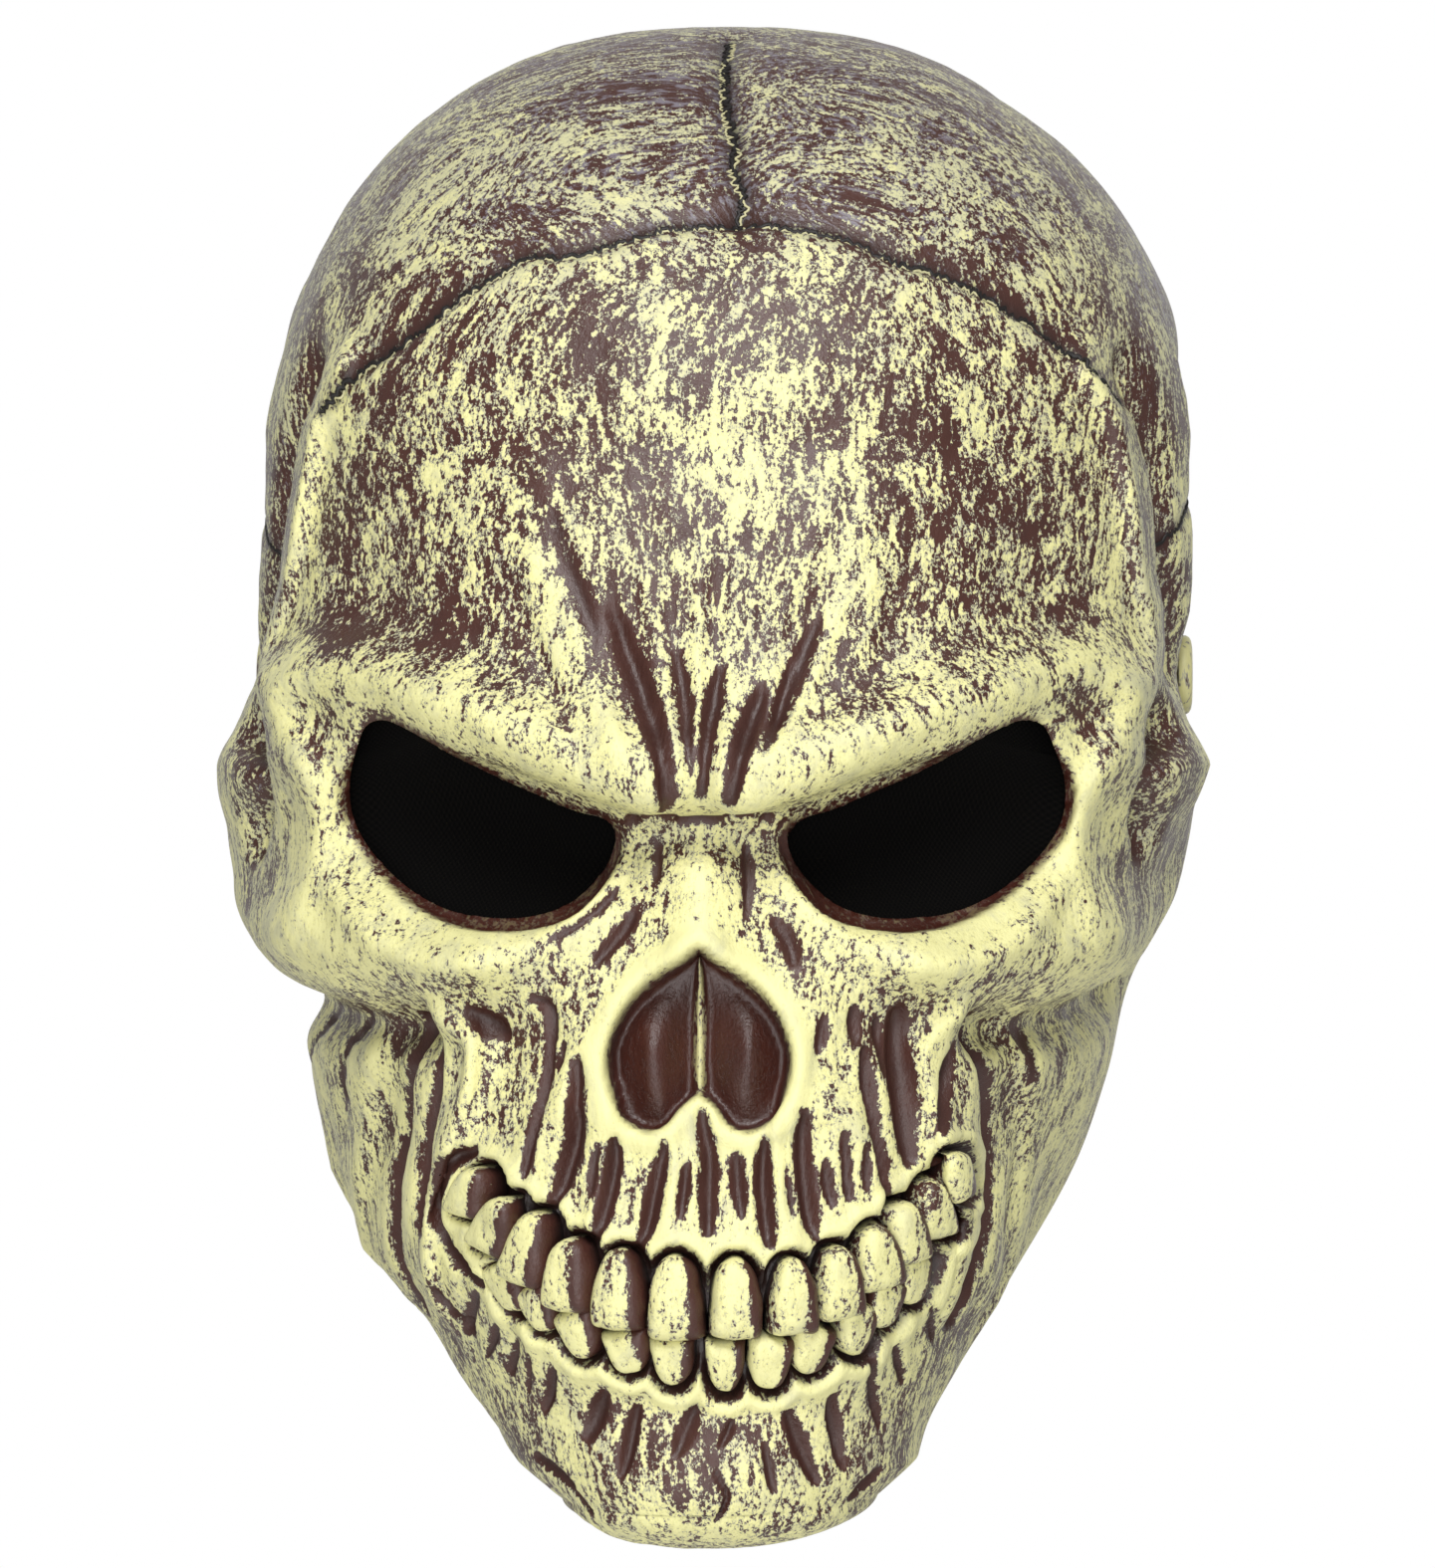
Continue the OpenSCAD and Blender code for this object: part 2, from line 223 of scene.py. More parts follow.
# Teeth: middle of the gum end, middle of the biting edge, width of the biting edge
UPPER_TEETH = [
    ((-40, -72), (-42.5, -81.5), 8), ((-34, -77), (-38.5, -88), 9), ((-28.5, -79.5), (-32.5, -93.5), 9.5),
    ((-22, -84), (-24, -98), 10), ((-13.5, -86), (-14.5, -101), 10.5), ((-4, -87), (-4, -103), 11.5),
    ((7, -87.5), (7, -102.5), 10.5), ((17, -87.5), (17.5, -102), 9.5), ((25, -85.5), (26.5, -99.5), 9.5),
    ((32, -82), (34, -94.5), 9.5), ((37.5, -78), (39.5, -90), 8), ((42.5, -74), (44.5, -85.5), 7.5),
    ((47, -69), (47.5, -78.5), 6.5),
]
LOWER_TEETH = [
    ((-33, -99), (-37, -90), 7), ((-27.5, -102), (-31, -94), 7.5), ((-20.5, -107), (-23.5, -98), 9),
    ((-12, -109.5), (-14, -101.5), 9.5), ((-4.5, -112), (-5, -103), 9.5), ((5, -113.5), (5, -103.5), 8.5),
    ((12.5, -113), (14, -103), 9.5), ((19.5, -110), (22.5, -101), 9), ((28.5, -107), (31, -97), 8),
    ((34, -102), (36.5, -92.5), 7), ((39.5, -98), (41, -88.5), 6.5),
]


def gauss_mound(p, x, z, half_w, half_h, turn, height):
    a = math.radians(turn)
    dx, dz = p[:, 0] - x, p[:, 2] - z
    u = (dx * math.cos(a) + dz * math.sin(a)) / half_w
    v = (dz * math.cos(a) - dx * math.sin(a)) / half_h
    return height * np.exp(-(u**2) - v**2)


def lifted(points, step=2.0):
    line = fair(points, step)
    return blank(on_disc(line[:, 0], line[:, 1]))


@functools.lru_cache(maxsize=None)
def laid(points):
    """A given line as points of the modelled face."""
    return modelled(on_disc(*fair(points, 2.0).T))[0]


def large_forms():
    """(form, arguments) of every large form, both sides written out."""
    forms = [("mound", m) for m in MIDDLE_MOUNDS]
    for x, z, w, h, turn, height in BOTH_SIDES_MOUNDS:
        forms += [("mound", (x, z, w, h, turn, height)), ("mound", (-x, z, w, h, -turn, height))]
    rolls = MIDDLE_ROLLS + BOTH_SIDES_ROLLS + [(mirrored(p), w, h) for p, w, h in BOTH_SIDES_ROLLS]
    forms += [("roll", (lifted(p, 4.0), w, h)) for p, w, h in rolls]
    return forms


LARGE_FORMS = large_forms()


def near_line(p, line, reach):
    low, high = line.min(0) - reach, line.max(0) + reach
    return np.flatnonzero(((p > low) & (p < high)).all(1))


def large_relief(p):
    """Heights of the large rises, and depths of the large hollows, at points of the blank."""
    rise, hollow = np.zeros(len(p)), np.zeros(len(p))
    for kind, facts in LARGE_FORMS:
        if kind == "mound":
            total = rise if facts[5] > 0 else hollow
            total += gauss_mound(p, *facts)
        else:
            line, width, height = facts
            total = rise if height > 0 else hollow
            at = near_line(p, line, width * 1.3)
            d, _ = segment_distance(p[at], line)
            total[at] += height * np.exp(-((d / (width / 2)) ** 2))
    return rise, hollow


# How far the soft latex has spread past the blank on each side: (z, left, right)
SPREAD = [(-146, -9, -4), (-137, -6, -1.5), (-130, -0.5, 2), (-118, 4, 0), (-105, 4.5, -1.5),
          (-92, 11, 0), (-78, 12.5, 1), (-66, 9, 1), (-56, 6.5, 0), (-46, 7, 0), (-32, 8.5, 0),
          (-18, 7.5, -3), (-8, 7, -1), (4, 8, 5), (12, 7, 3.5), (22, 5, 2.5), (34, 6, 7), (50, 6, 8.5),
          (70, 5, 8), (90, 1, 4.5), (110, -2, 1.5), (128, -2.5, -0.5), (138, -2.5, -2.5), (146, -1, 0),
          (154, -0.5, 2)]


def spread(p):
    """Sideways move of the walls: full between the buttons and the face, on the crown and on the chin, and
    none at the rear rim between them."""
    z, left, right = np.array(SPREAD, float).T
    wide = np.where(p[:, 0] < 0, -np.interp(p[:, 2], z, left), np.interp(p[:, 2], z, right))
    side = np.clip(np.abs(p[:, 0]) / np.maximum(half_width(p[:, 2]), 30), 0, 1) ** 3
    off_rim = np.maximum(soft_step((rim_y(p[:, 2]) - p[:, 1] - 14) / 20), soft_step((p[:, 2] - 70) / 30))
    off_rim = np.maximum(off_rim, soft_step((-120 - p[:, 2]) / 12))
    return wide * side * off_rim


def modelled(disc):
    """Points after the large forms, and their outward normals. At the sides a rise goes forwards and not
    outwards, so that the front outline stays that of the blank."""
    def shaped(q):
        p, normal = blank(q), surface_normal(blank, q)
        rise, hollow = large_relief(p)
        turned = 0.9 * soft_step((np.abs(normal[:, 0]) - 0.4) / 0.4)[:, None]
        forwards = normal * (1 - turned) + np.array([0, -1, 0]) * turned
        out = p + (forwards * rise[:, None] + normal * hollow[:, None]) * fade(q)[:, None]
        out[:, 0] += spread(p)
        out[:, 2] += 2 * soft_step((-128 - p[:, 2]) / 16)
        return out
    return shaped(disc), surface_normal(shaped, disc)


def fade(disc):
    """1 on the face, 0 on the rim, so that the rim keeps the CAD outline."""
    return 1 - soft_step((np.hypot(disc[:, 0], disc[:, 1]) - 0.9) / 0.1)


def surface_normal(surface, disc, h=0.004):
    r = np.hypot(disc[:, 0], disc[:, 1])
    q = disc * np.minimum(1, (1 - 1.5 * h) / np.maximum(r, 1e-9))[:, None]
    dx = surface(q + [h, 0]) - surface(q - [h, 0])
    dz = surface(q + [0, h]) - surface(q - [0, h])
    n = np.cross(dx, dz)
    return n / np.maximum(np.linalg.norm(n, axis=1), 1e-12)[:, None]


# ---------------------------------------------------------------- fine forms
# Grooves and ridges: points, width, height (below 0 is a groove)
ROOT_GROOVES = [
    ([(-28, -50), (-29, -60), (-31, -73)], 3.0, -2.2),
    ([(-22, -52), (-22, -64), (-26, -79)], 4.2, -3.2),
    ([(-25, -48), (-26, -53)], 1.6, -1.2),
    ([(-18, -67), (-19, -76)], 2.0, -1.4),
    ([(-15, -66), (-16, -75), (-18, -85)], 3.2, -2.4),
    ([(-6, -67), (-8, -77), (-10, -85)], 3.8, -2.6),
    ([(-2, -71), (-3, -80)], 2.4, -1.8),
    ([(1, -61), (2, -70), (2, -83)], 4.0, -2.8),
    ([(7, -69), (8, -80)], 2.6, -1.8),
    ([(12, -66), (12, -75), (13, -85)], 3.8, -2.6),
    ([(16, -71), (17, -80)], 1.8, -1.4),
    ([(19, -61), (19, -71), (21, -84)], 4.2, -3.0),
    ([(26, -65), (27, -77)], 2.2, -1.6),
    ([(31, -50), (32, -61), (35, -79)], 3.8, -2.6),
    ([(38, -43), (38, -56), (39, -70)], 5.5, -2.8),
    ([(29, -42), (29, -48)], 3.4, -1.6),
    ([(34, -44), (35, -54)], 2.2, -1.6),
    ([(23, -70), (24, -78)], 2.4, -1.8),
    ([(30, -67), (30, -75)], 1.6, -1.2),
    ([(23, -43), (22, -50)], 2.4, -1.4),
    ([(-43, -43), (-38, -47)], 4.5, -2.0),
    ([(-31, -40), (-28, -42), (-28, -49)], 3.0, -2.0),
]
CHEEK_CUTS = [
    ([(-57, -46), (-58, -58), (-58, -72), (-56, -86), (-51, -101)], 9, -4.8),
    ([(-50, -49), (-50, -58), (-51, -70), (-50, -84)], 6, -3.2),
    ([(-41, -69), (-46, -73), (-47, -81), (-44, -89), (-39, -94)], 4.0, -4.0),
    ([(-69, -44), (-70, -54), (-69, -64)], 3.4, -1.4),
    ([(-75, -44), (-76, -55)], 3.0, -1.2),
    ([(-47, -96), (-42, -104)], 2.6, -1.4),
    ([(54, -46), (57, -58), (57, -72), (54, -87), (48, -102)], 9, -4.8),
    ([(48, -50), (46, -56), (45, -64)], 5, -2.6),
    ([(48, -69), (51, -75), (50, -83)], 3.4, -3.5),
    ([(67, -46), (66, -58)], 3.0, -1.2),
    ([(-16, -20), (-21, -25), (-27, -29)], 2.2, -1.6),
    ([(-12, -24), (-15, -28), (-19, -33)], 3.0, -1.8),
    ([(14, -25), (17, -29), (18, -33)], 3.6, -2.0),
    ([(9, -12), (9.5, -18), (9, -24)], 2.4, -1.4),
    ([(-8, -12), (-8, -18)], 2.0, -1.2),
]
BROW_CUTS = [
    ([(-16, 32), (-12, 22), (-8, 11), (-5, 2), (-6, -2)], 4.2, -2.6),
    ([(-4, 24), (-2, 14), (-1, 4)], 2.8, -1.4),
    ([(4, 21), (2, 10), (1, 1)], 3.2, -1.8),
    ([(12, 17), (9, 9), (6, 1)], 4.4, -2.4),
    ([(17, 22), (14, 10)], 2.4, -1.2),
    ([(-27, 50), (-23, 38), (-19, 28)], 4.5, -0.8),
    ([(-32, 42), (-23, 23), (-13, 5)], 11.0, 1.5),
    ([(32, 38), (22, 22), (13, 6)], 11.0, 1.3),
    ([(22, 30), (17, 17), (12, 6)], 4.5, -1.0),
    ([(-15, -8), (-8, -5.5), (-2, -7), (4, -6.5), (8, -5.5), (16, -8)], 2.0, -3.0),
]
CHIN_CUTS = [
    ([(3, -127), (5, -132), (3, -138)], 1.5, -1.8),
    ([(-40, -96), (-43, -104)], 3.4, -1.6),
    ([(-37, -102), (-39, -108)], 2.4, -1.4),
    ([(-34, -105), (-35, -111)], 2.4, -1.4),
    ([(-31, -107), (-32, -115)], 1.8, -1.2),
    ([(-27, -110), (-29, -118)], 2.6, -1.6),
    ([(-18, -114), (-21, -122)], 4.0, -1.8),
    ([(-12, -117), (-14, -128)], 3.4, -2.0),
    ([(-1, -117), (-4, -124)], 3.6, -1.4),
    ([(6, -119), (4, -123)], 2.0, -1.2),
    ([(12, -123), (13, -131)], 2.6, -1.4),
    ([(17, -118), (21, -130)], 3.6, -2.0),
    ([(25, -115), (26, -128)], 3.0, -2.2),
    ([(32, -107), (33, -121)], 2.6, -1.8),
    ([(37, -106), (38, -113)], 2.4, -1.4),
    ([(43, -99), (44, -106)], 3.0, -1.4),
    ([(32, -130), (28, -135)], 3.6, -1.6),
    ([(-31, -127), (-25, -132)], 3.0, -1.6),
    ([(-27, -131), (-22, -138)], 2.0, -1.2),
]
CUTS = ROOT_GROOVES + CHEEK_CUTS + BROW_CUTS + CHIN_CUTS

# Skull sutures
SAGITTAL = [(2, 148), (2, 142), (3, 132), (5, 124), (5, 118), (7, 113), (6, 107)]
CORONAL_LEFT = [(6, 107), (-1, 106), (-9, 105), (-18, 102), (-27, 100), (-34, 100), (-41, 96), (-48, 92),
                (-54, 87), (-60, 83), (-67, 78), (-72, 71)]
CORONAL_RIGHT = [(8, 107), (19, 105), (28, 103), (36, 99), (44, 97), (52, 93), (60, 88), (66, 83), (71, 79),
                 (76, 73)]
TEMPLE_RIGHT = [(90.5, 66), (89, 60), (87, 53), (85, 47), (83, 42)]
TEMPLE_LEFT = [(-90.5, 70), (-89.5, 61), (-88, 53), (-86, 46), (-83, 40)]
MAIN_SUTURES = [SAGITTAL, CORONAL_LEFT, CORONAL_RIGHT]
SIDE_SUTURES = [TEMPLE_RIGHT, TEMPLE_LEFT]

PAINT = ("tone", "wash", "bare", "grey", "grain_u", "grain_v")


def lumps(p, size, seed):
    """Smooth random field from -1 to 1 over points in mm; size is the lump's length along x, y and z."""
    lattice = np.random.default_rng(seed).uniform(-1, 1, (64, 64, 64))
    q = p / np.array(size, float) + 400.0
    cell = np.floor(q).astype(int)
    f = q - cell
    f = f * f * (3 - 2 * f)
    total = np.zeros(len(p))
    for corner in np.ndindex(2, 2, 2):
        weight = np.prod(np.where(corner, f, 1 - f), axis=1)
        i, j, k = ((cell + corner) % 64).T
        total += weight * lattice[i, j, k]
    return total


def tooth_frame(tooth):
    """Middle, direction towards the biting edge, direction across, half length and half width of a tooth."""
    gum, edge, width = np.array(tooth[0], float), np.array(tooth[1], float), tooth[2]
    along = (edge - gum) / np.linalg.norm(edge - gum)
    across = np.array([-along[1], along[0]])
    half_length = np.linalg.norm(edge - gum) / 2 + 0.5
    half_width_here = width / 2 + (0.2 if along[1] < 0 else 0)
    return (gum + edge) / 2, along, across, half_length, half_width_here


def tooth_distance(front, tooth):
    """Front-view distance to a tooth's outline: round at the gum and square at the biting edge."""
    middle, along, across, half_length, half = tooth_frame(tooth)
    v = (front - middle) @ along
    u = np.abs((front - middle) @ across)
    narrow = half * (0.93 + 0.14 * v / half_length - 0.2 * np.clip(-v / half_length, 0, 1) ** 2)
    corner = np.where(v < 0, narrow * 0.85, narrow * 0.3)
    a, b = u - narrow + corner, np.abs(v) - half_length + corner
    return np.hypot(np.maximum(a, 0), np.maximum(b, 0)) + np.minimum(np.maximum(a, b), 0) - corner


def fine_forms(p):
    """Height of the fine forms at modelled points, and the paint marks that go with them."""
    height = np.zeros(len(p))
    mark = {name: np.zeros(len(p)) for name in PAINT}
    front = p[:, [0, 2]]
    for points, width, tall in CUTS:
        line = laid(tuple(points))
        at = near_line(p, line, width * 1.6)
        d, t = segment_distance(p[at], line)
        d += 0.35 * lumps(p[at], (2.2, 2.2, 5), 3)
        taper = 0.45 + 0.55 * np.sqrt(np.sin(np.clip(t, 0.02, 0.98) * math.pi))
        shape = 1 - soft_step(np.abs(d) / (width * 0.72 * taper))
        height[at] += tall * taper * shape
        if tall < 0:
            mark["tone"][at] -= shape**0.6 * min(1.3, -tall / 1.8)
            mark["wash"][at] = np.maximum(mark["wash"][at], 0.35 * shape**3)
        else:
            mark["tone"][at] += 0.15 * shape
    for points in MAIN_SUTURES:
        line = laid(tuple(points))
        at = near_line(p, line, 26)
        d, t = segment_distance(p[at], line)
        nearest = line[np.clip((t * (len(line) - 1)).round().astype(int), 0, len(line) - 1)]
        behind = soft_step((p[at, 2] - nearest[:, 2]) / 3 + 0.5) if points is not SAGITTAL else 1.0
        height[at] -= 1.2 * np.exp(-((d / 5) ** 2)) * behind + 0.5 * np.exp(-((d / 1.4) ** 2))
        mark["tone"][at] -= 0.12 * np.exp(-((d / 6) ** 2)) * behind
        shade = 0.5 * np.exp(-((d / 3) ** 2)) * behind + 0.5 * np.exp(-((d / 1.2) ** 2))
        mark["wash"][at] = np.maximum(mark["wash"][at], shade)
    for points in SIDE_SUTURES:
        line = laid(tuple(points))
        at = near_line(p, line, 9)
        d, _ = segment_distance(p[at], line)
        height[at] -= 0.8 * np.exp(-((d / 1.8) ** 2))
        mark["wash"][at] = np.maximum(mark["wash"][at], 0.5 * np.exp(-((d / 1.8) ** 2)))
    # mouth: a dark trench round every tooth
    near = np.flatnonzero((np.abs(p[:, 0]) < 60) & (p[:, 2] < -60) & (p[:, 2] > -125))
    gap = np.full(len(near), 99.0)
    for tooth in UPPER_TEETH + LOWER_TEETH:
        gap = np.minimum(gap, tooth_distance(front[near], tooth))
    height[near] += -4.0 * soft_step((1.3 - gap) / 1.3) + 0.9 * np.exp(-(((gap - 2.4) / 1.2) ** 2))
    mark["wash"][near] = np.maximum(mark["wash"][near], 0.85 * soft_step((1.3 - gap) / 0.8))
    mark["tone"][near] += 0.24 * np.exp(-(((gap - 2.8) / 1.6) ** 2)) - 0.6 * soft_step((1.5 - gap) / 0.7)
    # nose: a closed recess with two lobes and a thin septum
    near = np.flatnonzero((np.abs(p[:, 0]) < 30) & (np.abs(p[:, 2] + 48) < 30))
    x, z = front[near].T
    d = outline_distance(front[near], NOSE_LINE)
    within = soft_step(-d / 2.2 + 0.1)
    lobes = sum(np.exp(-(((x - at) / 6) ** 2) - ((z + 51) / 12) ** 2) for at in (-9, 9))
    septum = np.exp(-((x / 1.1) ** 2)) * soft_step((-d) / 2)
    rim = np.exp(-(((d - 1.6) / 2.0) ** 2)) * (d > -0.5)
    height[near] += -10.0 * within + 6.0 * lobes * within + 3.0 * septum + 1.4 * rim
    on_septum = 0.85 * np.exp(-((x / 0.9) ** 2)) * soft_step((-z - 33) / 4)
    mark["bare"][near] = soft_step(-d) * (1 - on_septum)
    mark["tone"][near] += 0.45 * np.exp(-(((d - 2.4) / 2.4) ** 2)) * (d > 0)
    # the dark lip round each eye
    for line in EYES.values():
        low, high = line.min(0) - 10, line.max(0) + 10
        at = np.flatnonzero(((front > low) & (front < high)).all(1))
        d = outline_distance(front[at], line)
        lip = np.exp(-((np.maximum(d, 0) / 1.5) ** 2))
        below = soft_step((8 - front[at, 1] + 0.32 * (np.abs(front[at, 0]) - 62)) / 10)
        height[at] -= (0.8 + 2.4 * below) * lip
        mark["bare"][at] = np.maximum(mark["bare"][at], soft_step((0.8 + 1.4 * below - d) / 1.0) * 0.9)
        mark["tone"][at] += 0.12 * np.exp(-(((d - 4) / 2.5) ** 2))
    return height, mark


def clay(p):
    """The sculptor's tool marks: flutes down the jaws, strokes fanned over the brow, small lumps."""
    jaws = soft_step((-42 - p[:, 2]) / 8) * soft_step((p[:, 2] + 116) / 14)
    fan = np.exp(-((p[:, 0] / 60) ** 2)) * soft_step((p[:, 2] + 2) / 12) * soft_step((70 - p[:, 2]) / 40)
    angle = np.arctan2(p[:, 0], p[:, 2] + 40)
    spread = np.stack([angle * 90, np.hypot(p[:, 0], p[:, 2] + 40), p[:, 1] * 0], 1)
    flutes = lumps(p, (4.5, 9, 38), 11) + 0.6 * lumps(p, (2.4, 6, 24), 12)
    strokes = lumps(spread, (5, 34, 9), 13) + 0.6 * lumps(spread, (2.4, 18, 9), 14)
    small = 0.35 * lumps(p, (11, 11, 14), 15) + 0.16 * lumps(p, (3.2, 3.2, 4.5), 16)
    jaws = jaws * (1 - 0.75 * soft_step((np.abs(p[:, 0]) - 56) / 8))
    return 0.95 * jaws * flutes + 0.6 * fan * strokes + small


def zone_tone(p):
    """How much cream the painter left on each part of the skull, from 0 to 1."""
    x, z = np.abs(p[:, 0]), p[:, 2]
    tone = 0.54 - 0.05 * soft_step((z - 90) / 40) + 0.12 * soft_step((6 - z) / 24)
    side = soft_step((x - 76) / 10) * soft_step((z - 18) / 12)
    tone = tone - 0.06 * side
    for at_x, at_z, w, h, turn, more in [
        (78, -6, 9, 20, 0, 0.16), (66, -31, 30, 8, -8, 0.12), (44, 12, 36, 6, 20, 0.2),
        (0, -136, 26, 10, 0, 0.1), (77, 48, 3.5, 32, 6, 0.26), (0, -18, 8, 12, 0, 0.16),
        (30, -56, 18, 14, 0, 0.1), (24, 40, 9, 24, -28, 0.1), (84, 17, 8, 8, 0, 0.18),
        (68, -76, 10, 34, 0, 0.1), (0, 14, 24, 14, 0, 0.1), (46, 116, 22, 20, 0, 0.05),
        (6, -76, 36, 10, 0, 0.08), (0, 78, 20, 22, 0, 0.05), (62, 38, 14, 10, 0, 0.06),
    ]:
        for way in (-1, 1) if at_x > 6 else (1,):
            tone = tone + gauss_mound(p, way * at_x, at_z, w, h, way * turn, more)
    for at_x, at_z, w, h, less in [(-14, 30, 9, 14, 0.16), (66, 50, 14, 14, 0.05), (86, -8, 7, 14, 0.25),
                                   (-70, 28, 8, 6, 0.3), (-46, 27, 9, 5, 0.22), (36, 60, 12, 20, 0.08),
                                   (70, 16, 5, 4, 0.25), (30, -22, 14, 8, 0.1), (-30, -22, 14, 8, 0.12),
                                   (-72, -12, 10, 8, 0.1), (52, -38, 12, 5, 0.08),
                                   (0, -122, 34, 8, 0.06)]:
        tone = tone - gauss_mound(p, at_x, at_z, w, h, 0, less)
    return tone


def brush_grain(p):
    """Where the brush went, as two lengths in metres, across and along the strokes: a fan over the brow,
    upright on the jaws, and swirls on the crown and temples where the brush was turned."""
    x, z = p[:, 0], p[:, 2]
    angle = np.arctan2(x, z + 70)
    fan = soft_step((z - 4) / 30) * soft_step((88 - np.abs(x)) / 20)
    turn = 3 + 13 * soft_step((z - 70) / 40) + 6 * soft_step((np.abs(x) - 72) / 12) * soft_step((z - 5) / 20)
    u = x + fan * (angle * 125 - x) + turn * lumps(p, (24, 24, 24), 31)
    v = z + fan * (np.hypot(x, z + 70) - 70 - z) + turn * lumps(p, (24, 24, 24), 32)
    return u * MM, v * MM


def blurred(field, cells):
    """A grid field smoothed over a number of cells, edges kept."""
    kernel = np.exp(-np.linspace(-2, 2, 4 * cells + 1) ** 2)
    kernel /= kernel.sum()
    for axis in (0, 1):
        wide = np.pad(field, [(2 * cells, 2 * cells) if a == axis else (0, 0) for a in (0, 1)], mode="edge")
        field = np.apply_along_axis(np.convolve, axis, wide, kernel, "valid")
    return field


def flat_seat(p):
    """0 round each button, where the skin lies flat under the cap, and 1 elsewhere."""
    away = np.hypot(p[:, 1] + 12, p[:, 2] - 22)
    return soft_step((away - 9) / 6)


def sculpted(disc, shape):
    """Final points of the skin's outer face, and their paint marks. shape is (rows, columns) of the grid."""
    base = blank(disc)
    p, n = modelled(disc)
    height, mark = fine_forms(p)
    height = (height + clay(p)) * fade(disc) * flat_seat(p)
    relief = (((p - base) * n).sum(1) + height).reshape(shape)
    fine = (height.reshape(shape) - blurred(height.reshape(shape), 3)).ravel()
    broad = (relief - blurred(relief, 10)).ravel()
    ridge = np.clip(0.24 * fine, -0.5, 0.2) + np.clip(0.05 * broad, -0.12, 0.12)
    mark["tone"] = mark["tone"] + zone_tone(p) + ridge
    on_crown, on_sides = soft_step((p[:, 2] - 70) / 50), soft_step((np.abs(p[:, 0]) - 76) / 10)
    mark["grey"] = 0.35 + 0.7 * on_crown + 0.4 * on_sides
    mark["grain_u"], mark["grain_v"] = brush_grain(p)
    return p + n * height[:, None], mark


# ---------------------------------------------------------------- meshes
def spaced(count, density):
    """count + 1 positions from -1 to 1, crowded where density, as (position, amount) points, is high."""
    fine = np.linspace(-1, 1, 2000)
    amount = np.cumsum(np.interp(fine, *np.array(density).T))
    amount = (amount - amount[0]) / (amount[-1] - amount[0])
    return np.interp(np.linspace(0, 1, count + 1), amount, fine)


COLUMN_DENSITY = [(-1, 0.7), (-0.6, 0.9), (-0.42, 1.5), (0.42, 1.5), (0.6, 0.9), (1, 0.7)]
ROW_DENSITY = [(-1, 0.9), (-0.62, 1.5), (-0.2, 1.5), (0.1, 1.2), (0.5, 0.9), (0.8, 0.7), (1, 0.7)]


def disc_grid(columns, rows):
    """Disc points of a grid of the skin, row by row from the chin up."""
    s, v = np.meshgrid(spaced(columns, COLUMN_DENSITY), spaced(rows, ROW_DENSITY))
    return np.stack([s * np.sqrt(1 - v * v / 2), v * np.sqrt(1 - s * s / 2)], -1).reshape(-1, 2)


def grid_triangles(columns, rows):
    i, j = np.meshgrid(np.arange(columns), np.arange(rows))
    a = (j * (columns + 1) + i).ravel()
    b, c, d = a + 1, a + columns + 2, a + columns + 1
    return np.vstack([np.stack([a, b, c], 1), np.stack([a, c, d], 1)])


def clipped(values, triangles, outside):
    """Cuts a triangle mesh at outside = 0 and keeps the part above 0. values has a row for each vertex."""
    outside = np.where(np.abs(outside) < 0.08, 0.08, outside)
    keep = outside > 0
    kept = keep[triangles].sum(1)
    pieces = [triangles[kept == 3]]
    edges, corners = [], []
    for number in (1, 2):
        t = triangles[kept == number]
        odd = np.argmax(keep[t] == (number == 1), axis=1)
        turn = (odd[:, None] + np.arange(3)) % 3
        a, b, c = np.take_along_axis(t, turn, 1).T
        edges += [np.stack([a, b], 1), np.stack([a, c], 1)]
        corners.append((a, b, c))
    pairs = np.sort(np.vstack(edges), 1)
    unique, index = np.unique(pairs, axis=0, return_inverse=True)
    index = index.ravel() + len(values)
    share = outside[unique[:, 0]] / (outside[unique[:, 0]] - outside[unique[:, 1]])
    new = values[unique[:, 0]] * (1 - share)[:, None] + values[unique[:, 1]] * share[:, None]
    n1, n2 = len(corners[0][0]), len(corners[1][0])
    ab1, ac1, ab2, ac2 = np.split(index, [n1, 2 * n1, 2 * n1 + n2])
    pieces.append(np.stack([corners[0][0], ab1, ac1], 1))
    pieces.append(np.stack([ab2, corners[1][1], corners[1][2]], 1))
    pieces.append(np.stack([ab2, corners[1][2], ac2], 1))
    return packed(np.vstack([values, new]), np.vstack(pieces))


def packed(values, triangles):
    """Drops vertices that no triangle uses."""
    used, index = np.unique(triangles, return_inverse=True)
    return values[used], index.reshape(triangles.shape)


def open_edges(triangles):
    """Closed loops of the edges that have one triangle, each in the triangles' own direction."""
    e = np.vstack([triangles[:, [0, 1]], triangles[:, [1, 2]], triangles[:, [2, 0]]])
    key = np.sort(e, 1)
    _, first, count = np.unique(key, axis=0, return_index=True, return_counts=True)
    follow = dict(e[first[count == 1]].tolist())
    loops = []
    while follow:
        start, at = follow.popitem()
        loop = [start]
        while at != start:
            loop.append(at)
            at = follow.pop(at)
        loops.append(np.array(loop))
    return loops


